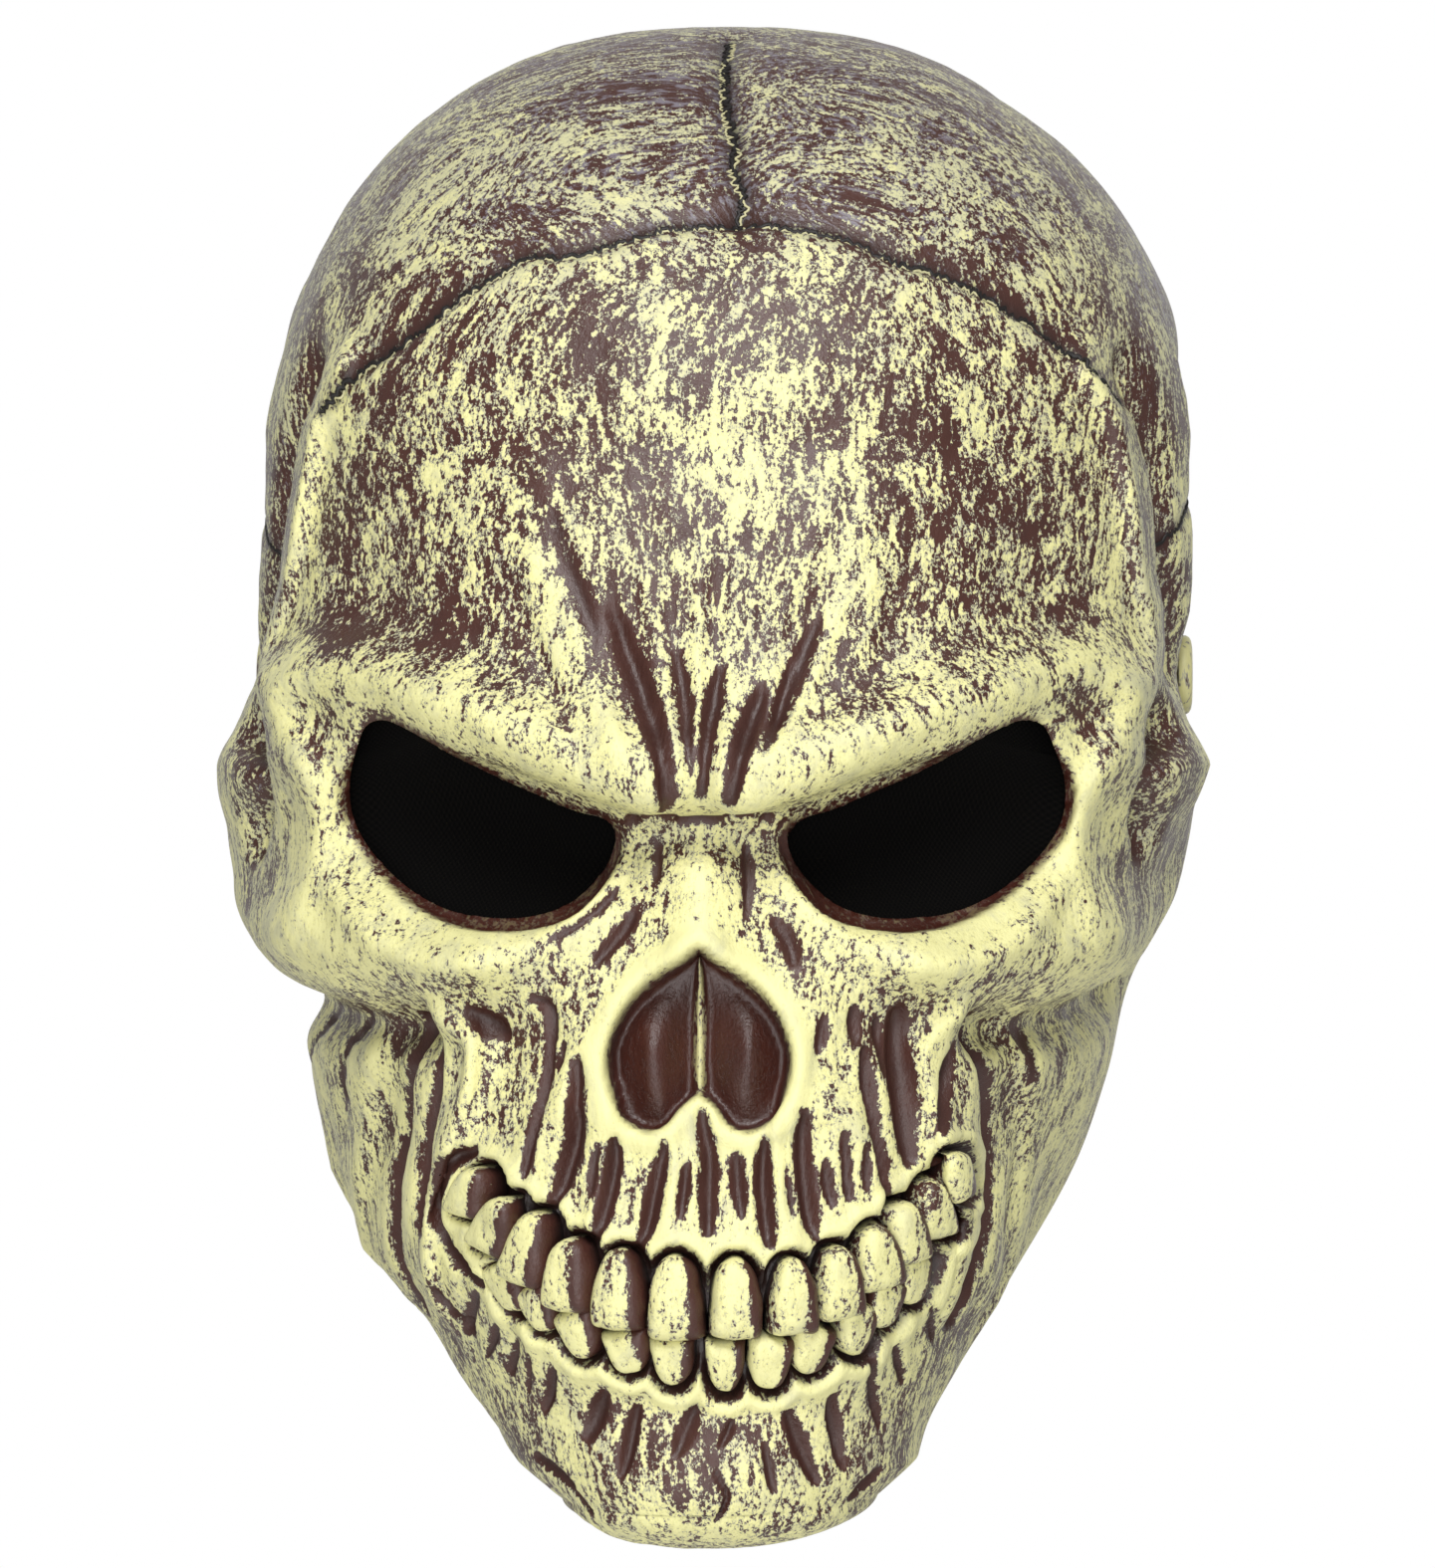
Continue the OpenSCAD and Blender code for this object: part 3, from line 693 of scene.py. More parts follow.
def strip(points_a, loop_a, points_b, loop_b):
    """Triangles between two closed loops that run the same way, matched by how far round they are."""
    def share(points):
        step = np.linalg.norm(np.diff(np.vstack([points, points[:1]]), axis=0), axis=1)
        return np.concatenate([[0], np.cumsum(step) / step.sum()])
    start = np.argmin(np.linalg.norm(points_b - points_a[0], axis=1))
    loop_b, points_b = np.roll(loop_b, -start), np.roll(points_b, -start, 0)
    sa, sb = share(points_a), share(points_b)
    faces, i, j = [], 0, 0
    while i < len(loop_a) or j < len(loop_b):
        a, b = loop_a[i % len(loop_a)], loop_b[j % len(loop_b)]
        if j == len(loop_b) or (i < len(loop_a) and sa[i + 1] <= sb[j + 1]):
            i += 1
            faces.append((a, b, loop_a[i % len(loop_a)]))
        else:
            j += 1
            faces.append((a, b, loop_b[j % len(loop_b)]))
    return np.array(faces)


def make_piece(name, points_mm, faces, material, marks=None, smooth=True):
    """Mesh object from points in millimetres, with a float attribute for each paint mark."""
    mesh = bpy.data.meshes.new(name)
    mesh.from_pydata((np.asarray(points_mm) * MM).tolist(), [], np.asarray(faces).tolist())
    mesh.polygons.foreach_set("use_smooth", [smooth] * len(mesh.polygons))
    for key, value in (marks or {}).items():
        layer = mesh.attributes.new(key, "FLOAT", "POINT")
        layer.data.foreach_set("value", np.asarray(value, np.float32))
    piece = bpy.data.objects.new(name, mesh)
    bpy.context.scene.collection.objects.link(piece)
    mesh.materials.append(material)
    return piece


def matched(loop, loops, points_from, points_to):
    """The loop among loops whose middle is nearest to that of loop."""
    middle = points_from[loop].mean(0)
    return min(loops, key=lambda other: np.linalg.norm(points_to[other].mean(0) - middle))


OUTER_CELLS = (272, 304)
INNER_CELLS = (112, 128)
WALL = 3.0


def kept_behind(inner, free, outer, triangles):
    """Inner points, where free, moved back from the outer face if they lie under 2.2 mm behind it."""
    tree = BVHTree.FromPolygons(outer.tolist(), triangles.tolist())
    moved = inner.copy()
    for i in np.flatnonzero(free):
        point = inner[i]
        found = tree.find_nearest(Vector(point), 12)
        if found[0] is not None:
            behind = (found[0] - Vector(point)).dot(found[1])
            if behind < 2.2:
                moved[i] -= np.array(found[1]) * min(2.2 - behind, 1.5)
    return moved


def skull_skin(material):
    """The whole shell: sculpted outer face, plain inner face, and the cut edge round rim and eyes."""
    disc = disc_grid(*OUTER_CELLS)
    p, mark = sculpted(disc, (OUTER_CELLS[1] + 1, OUTER_CELLS[0] + 1))
    values = np.hstack([p, np.stack([mark[k] for k in PAINT], 1)])
    triangles = grid_triangles(*OUTER_CELLS)
    for line in EYES.values():
        values, triangles = clipped(values, triangles, outline_distance(values[:, [0, 2]], line))
    inner_disc = disc_grid(*INNER_CELLS)
    q, m = modelled(inner_disc)
    rim = np.hypot(*inner_disc.T) > 0.999
    m[rim, 1] = 0
    m[rim] /= np.maximum(np.linalg.norm(m[rim], axis=1), 1e-9)[:, None]
    recess = 7 * soft_step((3 - outline_distance(q[:, [0, 2]], NOSE_LINE)) / 4)
    inner = q - m * (WALL + recess)[:, None]
    free = np.hypot(*inner_disc.T) < 0.95
    rows = (INNER_CELLS[1] + 1, INNER_CELLS[0] + 1)
    for _ in range(4):
        inner = kept_behind(inner, free, values[:, :3], triangles)
        soft = np.stack([blurred(inner[:, k].reshape(rows), 1).ravel() for k in range(3)], 1)
        inner = np.where(free[:, None], soft, inner)
    inner = kept_behind(inner, free, values[:, :3], triangles)
    inner_triangles = grid_triangles(*INNER_CELLS)[:, ::-1]
    for line in EYES.values():
        cut = outline_distance(inner[:, [0, 2]], line) - 0.8
        inner, inner_triangles = clipped(inner, inner_triangles, cut)
    points = np.vstack([values[:, :3], inner])
    offset = len(values)
    faces = [triangles, inner_triangles + offset]
    inner_loops = [loop + offset for loop in open_edges(inner_triangles)]
    for loop in open_edges(triangles):
        other = matched(loop, inner_loops, points, points)[::-1]
        faces.append(strip(points[loop], loop, points[other], other)[:, ::-1])
    marks = {k: np.concatenate([values[:, 3 + i], np.zeros(len(inner))]) for i, k in enumerate(PAINT)}
    marks["inner"] = np.concatenate([np.zeros(len(values)), np.ones(len(inner))])
    return make_piece("skull_skin", points, np.vstack(faces), material, marks)


def tooth_mesh(tooth, proud, seed):
    """One tooth as a closed shell, its root sunk in the trench. Returns points, faces and paint marks."""
    middle, along, across, half_length, half = tooth_frame(tooth)
    cells = (14, 18)
    s, t = np.meshgrid(np.linspace(-1, 1, cells[0] + 1), np.linspace(-1, 1, cells[1] + 1))
    s, t = s.ravel(), t.ravel()
    # square to rounded outline, narrow and round at the gum
    u = s * np.sqrt(1 - 0.5 * t**2 * np.where(t < 0, 0.95, 0.2))
    v = t * np.sqrt(1 - 0.5 * s**2 * np.where(t < 0, 0.75, 0.12))
    narrow = 0.93 + 0.14 * v - 0.2 * np.clip(-v, 0, 1) ** 2
    front = middle + np.outer(u * narrow * half, across) + np.outer(v * half_length, along)
    flat = np.stack([front[:, 0], front[:, 0] * 0, front[:, 1]], 1)
    front += 0.22 * np.stack([lumps(flat, (3, 3, 3), seed + i) for i in (0, 1)], 1) * half / 5
    disc = on_disc(front[:, 0], front[:, 1])
    p, n = modelled(disc)
    dome = (1 - np.abs(s) ** 4.5) ** 0.6 * (1 - np.abs(t) ** 7) ** 0.6
    groove = 0.4 * sum(np.exp(-(((s - at) / 0.16) ** 2)) for at in (-0.38, 0.3)) * soft_step((t + 0.2) / 0.9)
    wear = 0.25 * lumps(p, (3, 3, 4), seed + 5)
    outer = p + n * (-4.0 + (4.0 + proud) * dome - groove * dome + wear * dome)[:, None]
    inner = p - n * 4.6
    count = len(p)
    rows, columns = cells[1], cells[0]
    grid = grid_triangles(columns, rows)
    border = open_edges(grid)[0]
    keep = np.ones(count, bool)
    keep[border] = False
    # the back face shares the front's border, so a corner triangle with only border points would lie double
    grid = grid[~np.isin(grid, border).all(axis=1)]
    back = np.arange(count) + count
    back[border] = border
    order = 1 if np.cross(across, along) < 0 else -1
    faces = np.vstack([grid[:, ::order], back[grid][:, ::-order]])
    uneven = lumps(p, (2.5, 2.5, 6), seed + 7)
    # tone falls over each tooth's right side and at its left edge, so these show the brown
    right = s * np.sign(across[0]) + 0.12 * uneven
    tone = 0.9 - 1.1 * soft_step((right - 0.26) / 0.4) - 0.8 * soft_step((-right - 0.8) / 0.2)
    tone = tone - 0.2 * soft_step((-t - 0.5) / 0.5)
    wash = 0.95 * soft_step((np.maximum(np.abs(s), np.abs(t)) - 0.9) / 0.08)
    grain_u, grain_v = brush_grain(p)
    marks = {"tone": tone, "wash": wash, "bare": 0 * s, "grey": 0.3 + 0 * s,
             "grain_u": grain_u, "grain_v": grain_v}
    marks = {k: np.concatenate([value, value * (0 if k == "tone" else 1)]) for k, value in marks.items()}
    values = np.hstack([np.vstack([outer, inner]), np.stack([marks[k] for k in PAINT], 1)])
    return packed(values, faces)


def row_of_teeth(name, teeth, proud, seed, material):
    values, faces, count = [], [], 0
    for i, tooth in enumerate(teeth):
        one, triangles = tooth_mesh(tooth, proud, seed + 20 * i)
        values.append(one)
        faces.append(triangles + count)
        count += len(one)
    values = np.vstack(values)
    marks = {k: values[:, 3 + i] for i, k in enumerate(PAINT)}
    marks["inner"] = np.zeros(len(values))
    return make_piece(name, values[:, :3], np.vstack(faces), material, marks)


def on_skin(front, lift=0.0):
    """Points of the finished outer face at front-view points, and the outward normals there."""
    disc = on_disc(front[:, 0], front[:, 1])
    p, n = modelled(disc)
    height = (fine_forms(p)[0] + clay(p)) * fade(disc) * flat_seat(p)
    return p + n * (height + lift)[:, None], n


# ---------------------------------------------------------------- what repeats along a path
def group_input(tree, name, kind, value=None):
    socket = tree.interface.new_socket(name, in_out="INPUT", socket_type=kind)
    if value is not None:
        socket.default_value = value
    return socket.identifier


def seam_tree():
    """Geometry nodes: a wavy bead along a path, as a seam pressed into clay with a pointed tool. The path
    carries the sideways direction as the attribute side."""
    tree = bpy.data.node_groups.new("pressed_seam", "GeometryNodeTree")
    names = {"Geometry": group_input(tree, "Geometry", "NodeSocketGeometry")}
    for name, value in (("Wave Length", 0.003), ("Wave Height", 0.0007), ("Bead Radius", 0.0004),
                        ("Seed", 0.0), ("Offset", 0.0)):
        names[name] = group_input(tree, name, "NodeSocketFloat", value)
    names["Material"] = group_input(tree, "Material", "NodeSocketMaterial")
    tree.interface.new_socket("Geometry", in_out="OUTPUT", socket_type="NodeSocketGeometry")
    enter = tree.nodes.new("NodeGroupInput").outputs
    curve = add(tree, "GeometryNodeMeshToCurve", {0: enter["Geometry"]})
    fine = add(tree, "GeometryNodeResampleCurve", {"Curve": curve.outputs[0], "Length": 0.0005},
               mode="LENGTH")
    run = add(tree, "GeometryNodeSplineParameter").outputs["Length"]
    turns = add(tree, "ShaderNodeMath", {0: run, 1: enter["Wave Length"]}, operation="DIVIDE").outputs[0]
    shift = add(tree, "ShaderNodeMath", {0: turns, 1: enter["Seed"]}, operation="ADD").outputs[0]
    wander = add(tree, "ShaderNodeTexNoise", {"W": shift, "Scale": 0.9, "Detail": 2.0}, noise_dimensions="1D")
    phase = add(tree, "ShaderNodeMath", {0: wander.outputs[0], 1: 9.0, 2: turns},
                operation="MULTIPLY_ADD").outputs[0]
    angle = add(tree, "ShaderNodeMath", {0: phase, 1: 6.283}, operation="MULTIPLY").outputs[0]
    wave = add(tree, "ShaderNodeMath", {0: angle}, operation="SINE").outputs[0]
    size = add(tree, "ShaderNodeMath", {0: wave, 1: enter["Wave Height"], 2: enter["Offset"]},
               operation="MULTIPLY_ADD").outputs[0]
    side = add(tree, "GeometryNodeInputNamedAttribute", {"Name": "side"}, data_type="FLOAT_VECTOR").outputs[0]
    step = add(tree, "ShaderNodeVectorMath", {0: side, "Scale": size}, operation="SCALE").outputs[0]
    moved = add(tree, "GeometryNodeSetPosition", {"Geometry": fine.outputs[0], "Offset": step})
    ring = add(tree, "GeometryNodeCurvePrimitiveCircle", {"Resolution": 6, "Radius": enter["Bead Radius"]})
    bead = add(tree, "GeometryNodeCurveToMesh", {"Curve": moved.outputs[0], "Profile Curve": ring.outputs[0],
                                                 "Fill Caps": True})
    real = add(tree, "GeometryNodeRealizeInstances", {0: bead.outputs[0]})
    painted = add(tree, "GeometryNodeSetMaterial", {"Geometry": real.outputs[0],
                                                    "Material": enter["Material"]})
    add(tree, "NodeGroupOutput", {0: painted.outputs[0]})
    return tree, names


def stitch_tree():
    """Geometry nodes: a row of thread stitches along a path."""
    tree = bpy.data.node_groups.new("thread_stitches", "GeometryNodeTree")
    names = {"Geometry": group_input(tree, "Geometry", "NodeSocketGeometry")}
    for name, value in (("Stitch Step", 0.003), ("Stitch Length", 0.0022), ("Thread Radius", 0.00022)):
        names[name] = group_input(tree, name, "NodeSocketFloat", value)
    names["Material"] = group_input(tree, "Material", "NodeSocketMaterial")
    tree.interface.new_socket("Geometry", in_out="OUTPUT", socket_type="NodeSocketGeometry")
    enter = tree.nodes.new("NodeGroupInput").outputs
    curve = add(tree, "GeometryNodeMeshToCurve", {0: enter["Geometry"]})
    spots = add(tree, "GeometryNodeCurveToPoints", {"Curve": curve.outputs[0],
                                                    "Length": enter["Stitch Step"]},
                mode="LENGTH")
    bead = add(tree, "GeometryNodeMeshUVSphere", {"Segments": 8, "Rings": 5, "Radius": 1.0})
    half = add(tree, "ShaderNodeMath", {0: enter["Stitch Length"], 1: 0.5}, operation="MULTIPLY").outputs[0]
    shape = add(tree, "ShaderNodeCombineXYZ", {0: enter["Thread Radius"], 1: enter["Thread Radius"], 2: half})
    thread = add(tree, "GeometryNodeTransform", {"Geometry": bead.outputs[0], "Scale": shape.outputs[0]})
    row = add(tree, "GeometryNodeInstanceOnPoints", {"Points": spots.outputs["Points"],
                                                     "Instance": thread.outputs[0],
                                                     "Rotation": spots.outputs["Rotation"]})
    real = add(tree, "GeometryNodeRealizeInstances", {0: row.outputs[0]})
    painted = add(tree, "GeometryNodeSetMaterial", {"Geometry": real.outputs[0],
                                                    "Material": enter["Material"]})
    add(tree, "NodeGroupOutput", {0: painted.outputs[0]})
    return tree, names


def path_object(name, points, sides):
    """Chain of edges through points in metres, with the sideways direction at each."""
    mesh = bpy.data.meshes.new(name)
    mesh.from_pydata(points.tolist(), [(i, i + 1) for i in range(len(points) - 1)], [])
    across = mesh.attributes.new("side", "FLOAT_VECTOR", "POINT")
    across.data.foreach_set("vector", sides.astype(np.float32).ravel())
    obj = bpy.data.objects.new(name, mesh)
    bpy.context.scene.collection.objects.link(obj)
    return obj


def grown(obj, tree, names, **settings):
    """Runs a node tree on an object with its inputs set, and leaves the result as the object's plain mesh."""
    modifier = obj.modifiers.new("grow", "NODES")
    modifier.node_group = tree
    for key, value in settings.items():
        modifier[names[key.replace("_", " ")]] = value
    bpy.context.view_layer.update()
    result = bpy.data.meshes.new_from_object(obj.evaluated_get(bpy.context.evaluated_depsgraph_get()))
    obj.modifiers.clear()
    obj.data = result
    return obj


def joined(name, objects):
    """One object from several, materials kept."""
    with bpy.context.temp_override(active_object=objects[0], selected_editable_objects=objects):
        bpy.ops.object.join()
    objects[0].name = name
    return objects[0]


def suture_seams(dark, light):
    """The zigzag line of every suture: a black bead with a thin cream crest on its lower side."""
    tree, names = seam_tree()
    made = []
    for i, points in enumerate(MAIN_SUTURES + SIDE_SUTURES):
        line = fair(points, 1.5)
        p, n = on_skin(line, 0.05)
        along = np.gradient(p, axis=0)
        side = np.cross(n, along)
        side /= np.linalg.norm(side, axis=1)[:, None]
        side *= np.where(side[:, 2:] > 0, 1, -1)
        main = points in MAIN_SUTURES
        path = path_object("seam", p * MM, side)
        made.append(grown(path, tree, names, Wave_Length=0.0034, Wave_Height=0.0007 if main else 0.0004,
                          Bead_Radius=0.00055 if main else 0.0004, Seed=3.0 * i, Material=dark))
        if main:
            crest = path_object("crest", (p + n * 0.15) * MM, side)
            made.append(grown(crest, tree, names, Wave_Length=0.0034, Wave_Height=0.0007, Bead_Radius=0.0003,
                              Seed=3.0 * i, Offset=-0.0008, Material=light))
    return joined("suture_seams", made)


# ---------------------------------------------------------------- buttons, band and linings
PIVOT_Y, PIVOT_Z = -12.0, 22.0
BAND_X, BAND_W, BAND_T, BAND_BACK, BEND_R, LAYER_STEP = 86.5, 20.0, 1.4, 97.0, 35.0, 4.2
RING_FAR_X, RING_NEAR_X, SHORT_TAIL_X, LONG_TAIL_X = -42.0, -28.0, -50.0, 44.0


def turned(name, profile, side, material, segments=64):
    """Turned piece on a pivot. profile is (distance outwards, radius), from the inner centre to the outer."""
    angle = np.linspace(0, 2 * math.pi, segments, endpoint=False)
    points, rings = [], []
    for x, r in profile:
        if r == 0:
            rings.append([len(points)] * segments)
            points.append((side * x, PIVOT_Y, PIVOT_Z))
        else:
            rings.append(list(range(len(points), len(points) + segments)))
            points += [(side * x, PIVOT_Y + r * math.cos(a), PIVOT_Z + r * math.sin(a)) for a in angle]
    if profile[0][1] > 0:
        rings.append(rings[0])
    faces = []
    for low, high in zip(rings[:-1], rings[1:]):
        for i in range(segments):
            j = (i + 1) % segments
            corners = list(dict.fromkeys([low[i], low[j], high[j], high[i]]))
            faces.append(corners)
    return outward(poly_piece(name, points, faces, material))


def poly_piece(name, points, faces, material, marks=None, smooth_angle=35):
    """Mesh object from points in mm and faces of any number of corners, sharp where it turns far enough."""
    mesh = bpy.data.meshes.new(name)
    corners = [tuple(c * MM for c in p) for p in points]
    mesh.from_pydata(corners, [], [tuple(int(i) for i in f) for f in faces])
    mesh.validate()
    mesh.materials.append(material)
    piece = bpy.data.objects.new(name, mesh)
    bpy.context.scene.collection.objects.link(piece)
    mesh.shade_smooth()
    mesh.set_sharp_from_angle(angle=math.radians(smooth_angle))
    for key, value in (marks or {}).items():
        mesh.attributes.new(key, "FLOAT", "POINT").data.foreach_set("value", np.asarray(value, np.float32))
    return piece


CAP_PROFILE = [(91.3, 0), (91.3, 7.4), (91.5, 7.8), (92.0, 8.0), (93.1, 7.95), (93.7, 7.6), (94.1, 6.9),
               (94.3, 5.8), (94.25, 5.1), (94.0, 4.7), (94.0, 4.2), (94.2, 3.8), (94.3, 2.4), (94.3, 0)]
EYELET_PROFILE = [(84.6, 2.6), (84.6, 5.2), (84.8, 5.5), (85.05, 5.3), (85.05, 3.2), (86.6, 3.2), (86.6, 5.3),
                  (86.8, 5.5), (87.0, 5.2), (87.0, 2.6), (86.6, 2.1), (85.0, 2.1)]


def arc(cx, cy, r, start, end, step):
    count = max(int(abs(math.radians(end - start)) * r / step), 6)
    angle = np.radians(np.linspace(start, end, count + 1))
    return np.stack([cx + r * np.cos(angle), cy + r * np.sin(angle)], 1)


def band_path(side, bar_x, tail_x):
    """Centre line of half the band, from above: pivot, bend, back run, round the ring's bar, tail."""
    mid, bend = BAND_X - BAND_T / 2, BAND_X - BAND_T / 2 - BEND_R
    front = np.stack([np.full(60, side * mid), np.linspace(PIVOT_Y - 9.95, BAND_BACK - BEND_R, 60)], 1)
    corner = arc(bend, BAND_BACK - BEND_R, BEND_R, 0, 90, 1.6) * [side, 1]
    back = np.stack([np.linspace(side * bend, bar_x, 50)[1:-1], np.full(48, BAND_BACK)], 1)
    turn = arc(0, 0, LAYER_STEP / 2, 270, 90, 0.5) * [side, 1] + [bar_x, BAND_BACK + LAYER_STEP / 2]
    count = int(abs(tail_x - bar_x) / 1.6)
    tail = np.stack([np.linspace(bar_x, tail_x, count + 1)[1:], np.full(count, BAND_BACK + LAYER_STEP)], 1)
    return np.vstack([front, corner[1:], back, turn, tail])


def elastic(name, path, side, material):
    """Flat woven elastic along a path: rounded end on the pivot, ribs along it, thin rounded edges."""
    ribs, count = 11, 45
    run = np.concatenate([[0], np.cumsum(np.linalg.norm(np.diff(path, axis=0), axis=1))])
    along = np.gradient(path, axis=0)
    along /= np.linalg.norm(along, axis=1)[:, None]
    out = np.stack([along[:, 1], -along[:, 0]], 1) * side
    t = np.linspace(-1, 1, count)
    bulge = (1 - np.abs(t) ** 10) ** 0.5 * (0.86 + 0.14 * np.abs(np.cos(t * math.pi * ribs / 2)))
    points, faces, uv_along, uv_across = [], [], [], []
    around = 2 * count - 2
    for (x, y), (nx, ny), s in zip(path, out, run):
        half = BAND_W / 2 * math.sqrt(max(1 - max(1 - (s + 0.3) / 10, 0) ** 2, 0.002))
        for face in (1, -1):
            order = range(count) if face == 1 else range(count - 2, 0, -1)
            for i in order:
                thick = face * BAND_T / 2 * bulge[i]
                points.append((x + nx * thick, y + ny * thick, PIVOT_Z + half * t[i]))
                uv_along.append(s)
                uv_across.append(half * t[i])
    for ring in range(len(path) - 1):
        for i in range(around):
            a, b = ring * around + i, ring * around + (i + 1) % around
            faces.append((a, b, b + around, a + around))
    faces.append(tuple(range(around)))
    last = (len(path) - 1) * around
    faces.append(tuple(range(last, last + around)))
    return outward(poly_piece(name, points, faces, material, {"along": uv_along, "across": uv_across}, 60))


def ring_loop(material):
    """Rounded rectangular ring of moulded plastic, drawn round a closed path."""
    y, half_h, r, bend = BAND_BACK + LAYER_STEP / 2, BAND_W / 2 + 2.2, 1.3, 1.6
    corners = [(RING_NEAR_X - bend, half_h - bend, 0), (RING_FAR_X + bend, half_h - bend, 90),
               (RING_FAR_X + bend, bend - half_h, 180), (RING_NEAR_X - bend, bend - half_h, 270)]
    path = np.vstack([arc(x, z, bend, a, a + 90, 0.35) for x, z, a in corners])
    along = np.roll(path, -1, 0) - np.roll(path, 1, 0)
    along /= np.linalg.norm(along, axis=1)[:, None]
    across = np.stack([along[:, 1], -along[:, 0]], 1)
    angle = np.linspace(0, 2 * math.pi, 14, endpoint=False)
    points = [(x + ax * r * math.cos(a), y + r * math.sin(a), PIVOT_Z + z + az * r * math.cos(a))
              for (x, z), (ax, az) in zip(path, across) for a in angle]
    n = len(angle)
    faces = []
    for i in range(len(path)):
        j = (i + 1) % len(path)
        faces += [(i * n + k, i * n + (k + 1) % n, j * n + (k + 1) % n, j * n + k) for k in range(n)]
    return outward(poly_piece("band_ring_loop", points, faces, material))


def outward(piece):
    """Turns the faces of a closed piece outwards."""
    shape = bmesh.new()
    shape.from_mesh(piece.data)
    bmesh.ops.recalc_face_normals(shape, faces=shape.faces)
    shape.to_mesh(piece.data)
    shape.free()
    return piece


def eased_copy(node, name, width_mm, material):
    """A CAD piece with its edges eased, as they leave the mould."""
    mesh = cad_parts[node].data.copy()
    mesh.materials.clear()
    mesh.materials.append(material)
    shape = bmesh.new()
    shape.from_mesh(mesh)
    bmesh.ops.remove_doubles(shape, verts=shape.verts, dist=1e-6)
    bmesh.ops.dissolve_limit(shape, angle_limit=0.02, verts=shape.verts, edges=shape.edges)
    sharp = [e for e in shape.edges if len(e.link_faces) == 2 and e.calc_face_angle() > 0.6]
    bmesh.ops.bevel(shape, geom=sharp, offset=width_mm * MM, segments=3, affect="EDGES", profile=0.6)
    bmesh.ops.recalc_face_normals(shape, faces=shape.faces)
    shape.to_mesh(mesh)
    shape.free()
    mesh.shade_smooth()
    mesh.set_sharp_from_angle(angle=math.radians(30))
    piece = bpy.data.objects.new(name, mesh)
    bpy.context.scene.collection.objects.link(piece)
    return piece


def lining(name, spot, size, depth, thick, material, power=2.0, cells=(40, 28), swell=0.0):
    """Closed patch that lies behind the skin: spot and size in the front view, depth of its face behind the
    outer surface, thickness, and swell, the share by which the middle is thicker than the edge."""
    s, t = np.meshgrid(np.linspace(-1, 1, cells[0] + 1), np.linspace(-1, 1, cells[1] + 1))
    s, t = s.ravel(), t.ravel()
    u = s * np.sqrt(1 - t * t / 2) if power == 2 else s
    v = t * np.sqrt(1 - s * s / 2) if power == 2 else t
    disc = on_disc(spot[0] + u * size[0], spot[1] + v * size[1])
    p, n = modelled(disc)
    far = np.maximum(np.abs(s), np.abs(t))
    full = 1 - swell + swell * (1 - far**4) ** 0.5
    face, back = p - n * depth, p - n * (depth + thick * full)[:, None]
    grid = grid_triangles(*cells)
    border = open_edges(grid)[0]
    count = len(p)
    # the edge strip between face and back
    nxt = np.roll(border, -1)
    strip_faces = np.vstack([np.stack([border, nxt + count, nxt], 1),
                             np.stack([border, border + count, nxt + count], 1)])
    faces = np.vstack([grid, grid[:, ::-1] + count, strip_faces])
    marks = {"along": np.concatenate([u * size[0]] * 2), "across": np.concatenate([v * size[1]] * 2)}
    return outward(poly_piece(name, np.vstack([face, back]), faces, material, marks, 50))


def swollen(pad, cap_mm):
    """Foam pad in its cover: cloth blown up by the foam's own push, no point moving further than cap_mm."""
    remesh = pad.modifiers.new("remesh", "REMESH")
    remesh.mode, remesh.voxel_size = "VOXEL", 2.5 * MM
    bake(pad)
    rest = vertex_array(pad.data)
    cloth = pad.modifiers.new("cloth", "CLOTH")
    cloth.settings.use_pressure = True
    cloth.settings.uniform_pressure_force = 4
    cloth.settings.effector_weights.gravity = 0
    cloth.settings.quality = 4
    for step in range(1, 21):
        bpy.context.scene.frame_set(step)
    bake(pad)
    bpy.context.scene.frame_set(1)
    move = vertex_array(pad.data) - rest
    far = np.linalg.norm(move, axis=1)
    move *= np.minimum(1, cap_mm * MM / np.maximum(far, 1e-9))[:, None]
    pad.data.vertices.foreach_set("co", (rest + move).ravel())
    pad.modifiers.new("smooth", "SUBSURF").levels = 1
    bake(pad)
    pad.data.shade_smooth()
    return pad


def bake(piece):
    """Applies a piece's modifiers and leaves a plain mesh."""
    bpy.context.view_layer.update()
    mesh = bpy.data.meshes.new_from_object(piece.evaluated_get(bpy.context.evaluated_depsgraph_get()))
    piece.modifiers.clear()
    piece.data = mesh


def vertex_array(mesh):
    points = np.empty(len(mesh.vertices) * 3)
    mesh.vertices.foreach_get("co", points)
    return points.reshape(-1, 3)


# ---------------------------------------------------------------- materials
def linear(hex_colour):
    """sRGB hex to a linear RGBA colour."""
    parts = [int(hex_colour[i:i + 2], 16) / 255 for i in (1, 3, 5)]
    return [c / 12.92 if c <= 0.04045 else ((c + 0.055) / 1.055) ** 2.4 for c in parts] + [1.0]


def add(tree, kind, inputs=None, **settings):
    """Adds a node. inputs maps socket names or numbers to values, or to other nodes' outputs to link."""
    made = tree.nodes.new(kind)
    for key, value in settings.items():
        setattr(made, key, value)
    for key, value in (inputs or {}).items():
        socket = made.inputs[key]
        if isinstance(value, bpy.types.NodeSocket):
            tree.links.new(value, socket)
        else:
            socket.default_value = value
    return made


def new_material(name):
    material = bpy.data.materials.new(name)
    material.use_nodes = True
    material.node_tree.nodes.clear()
    return material, material.node_tree


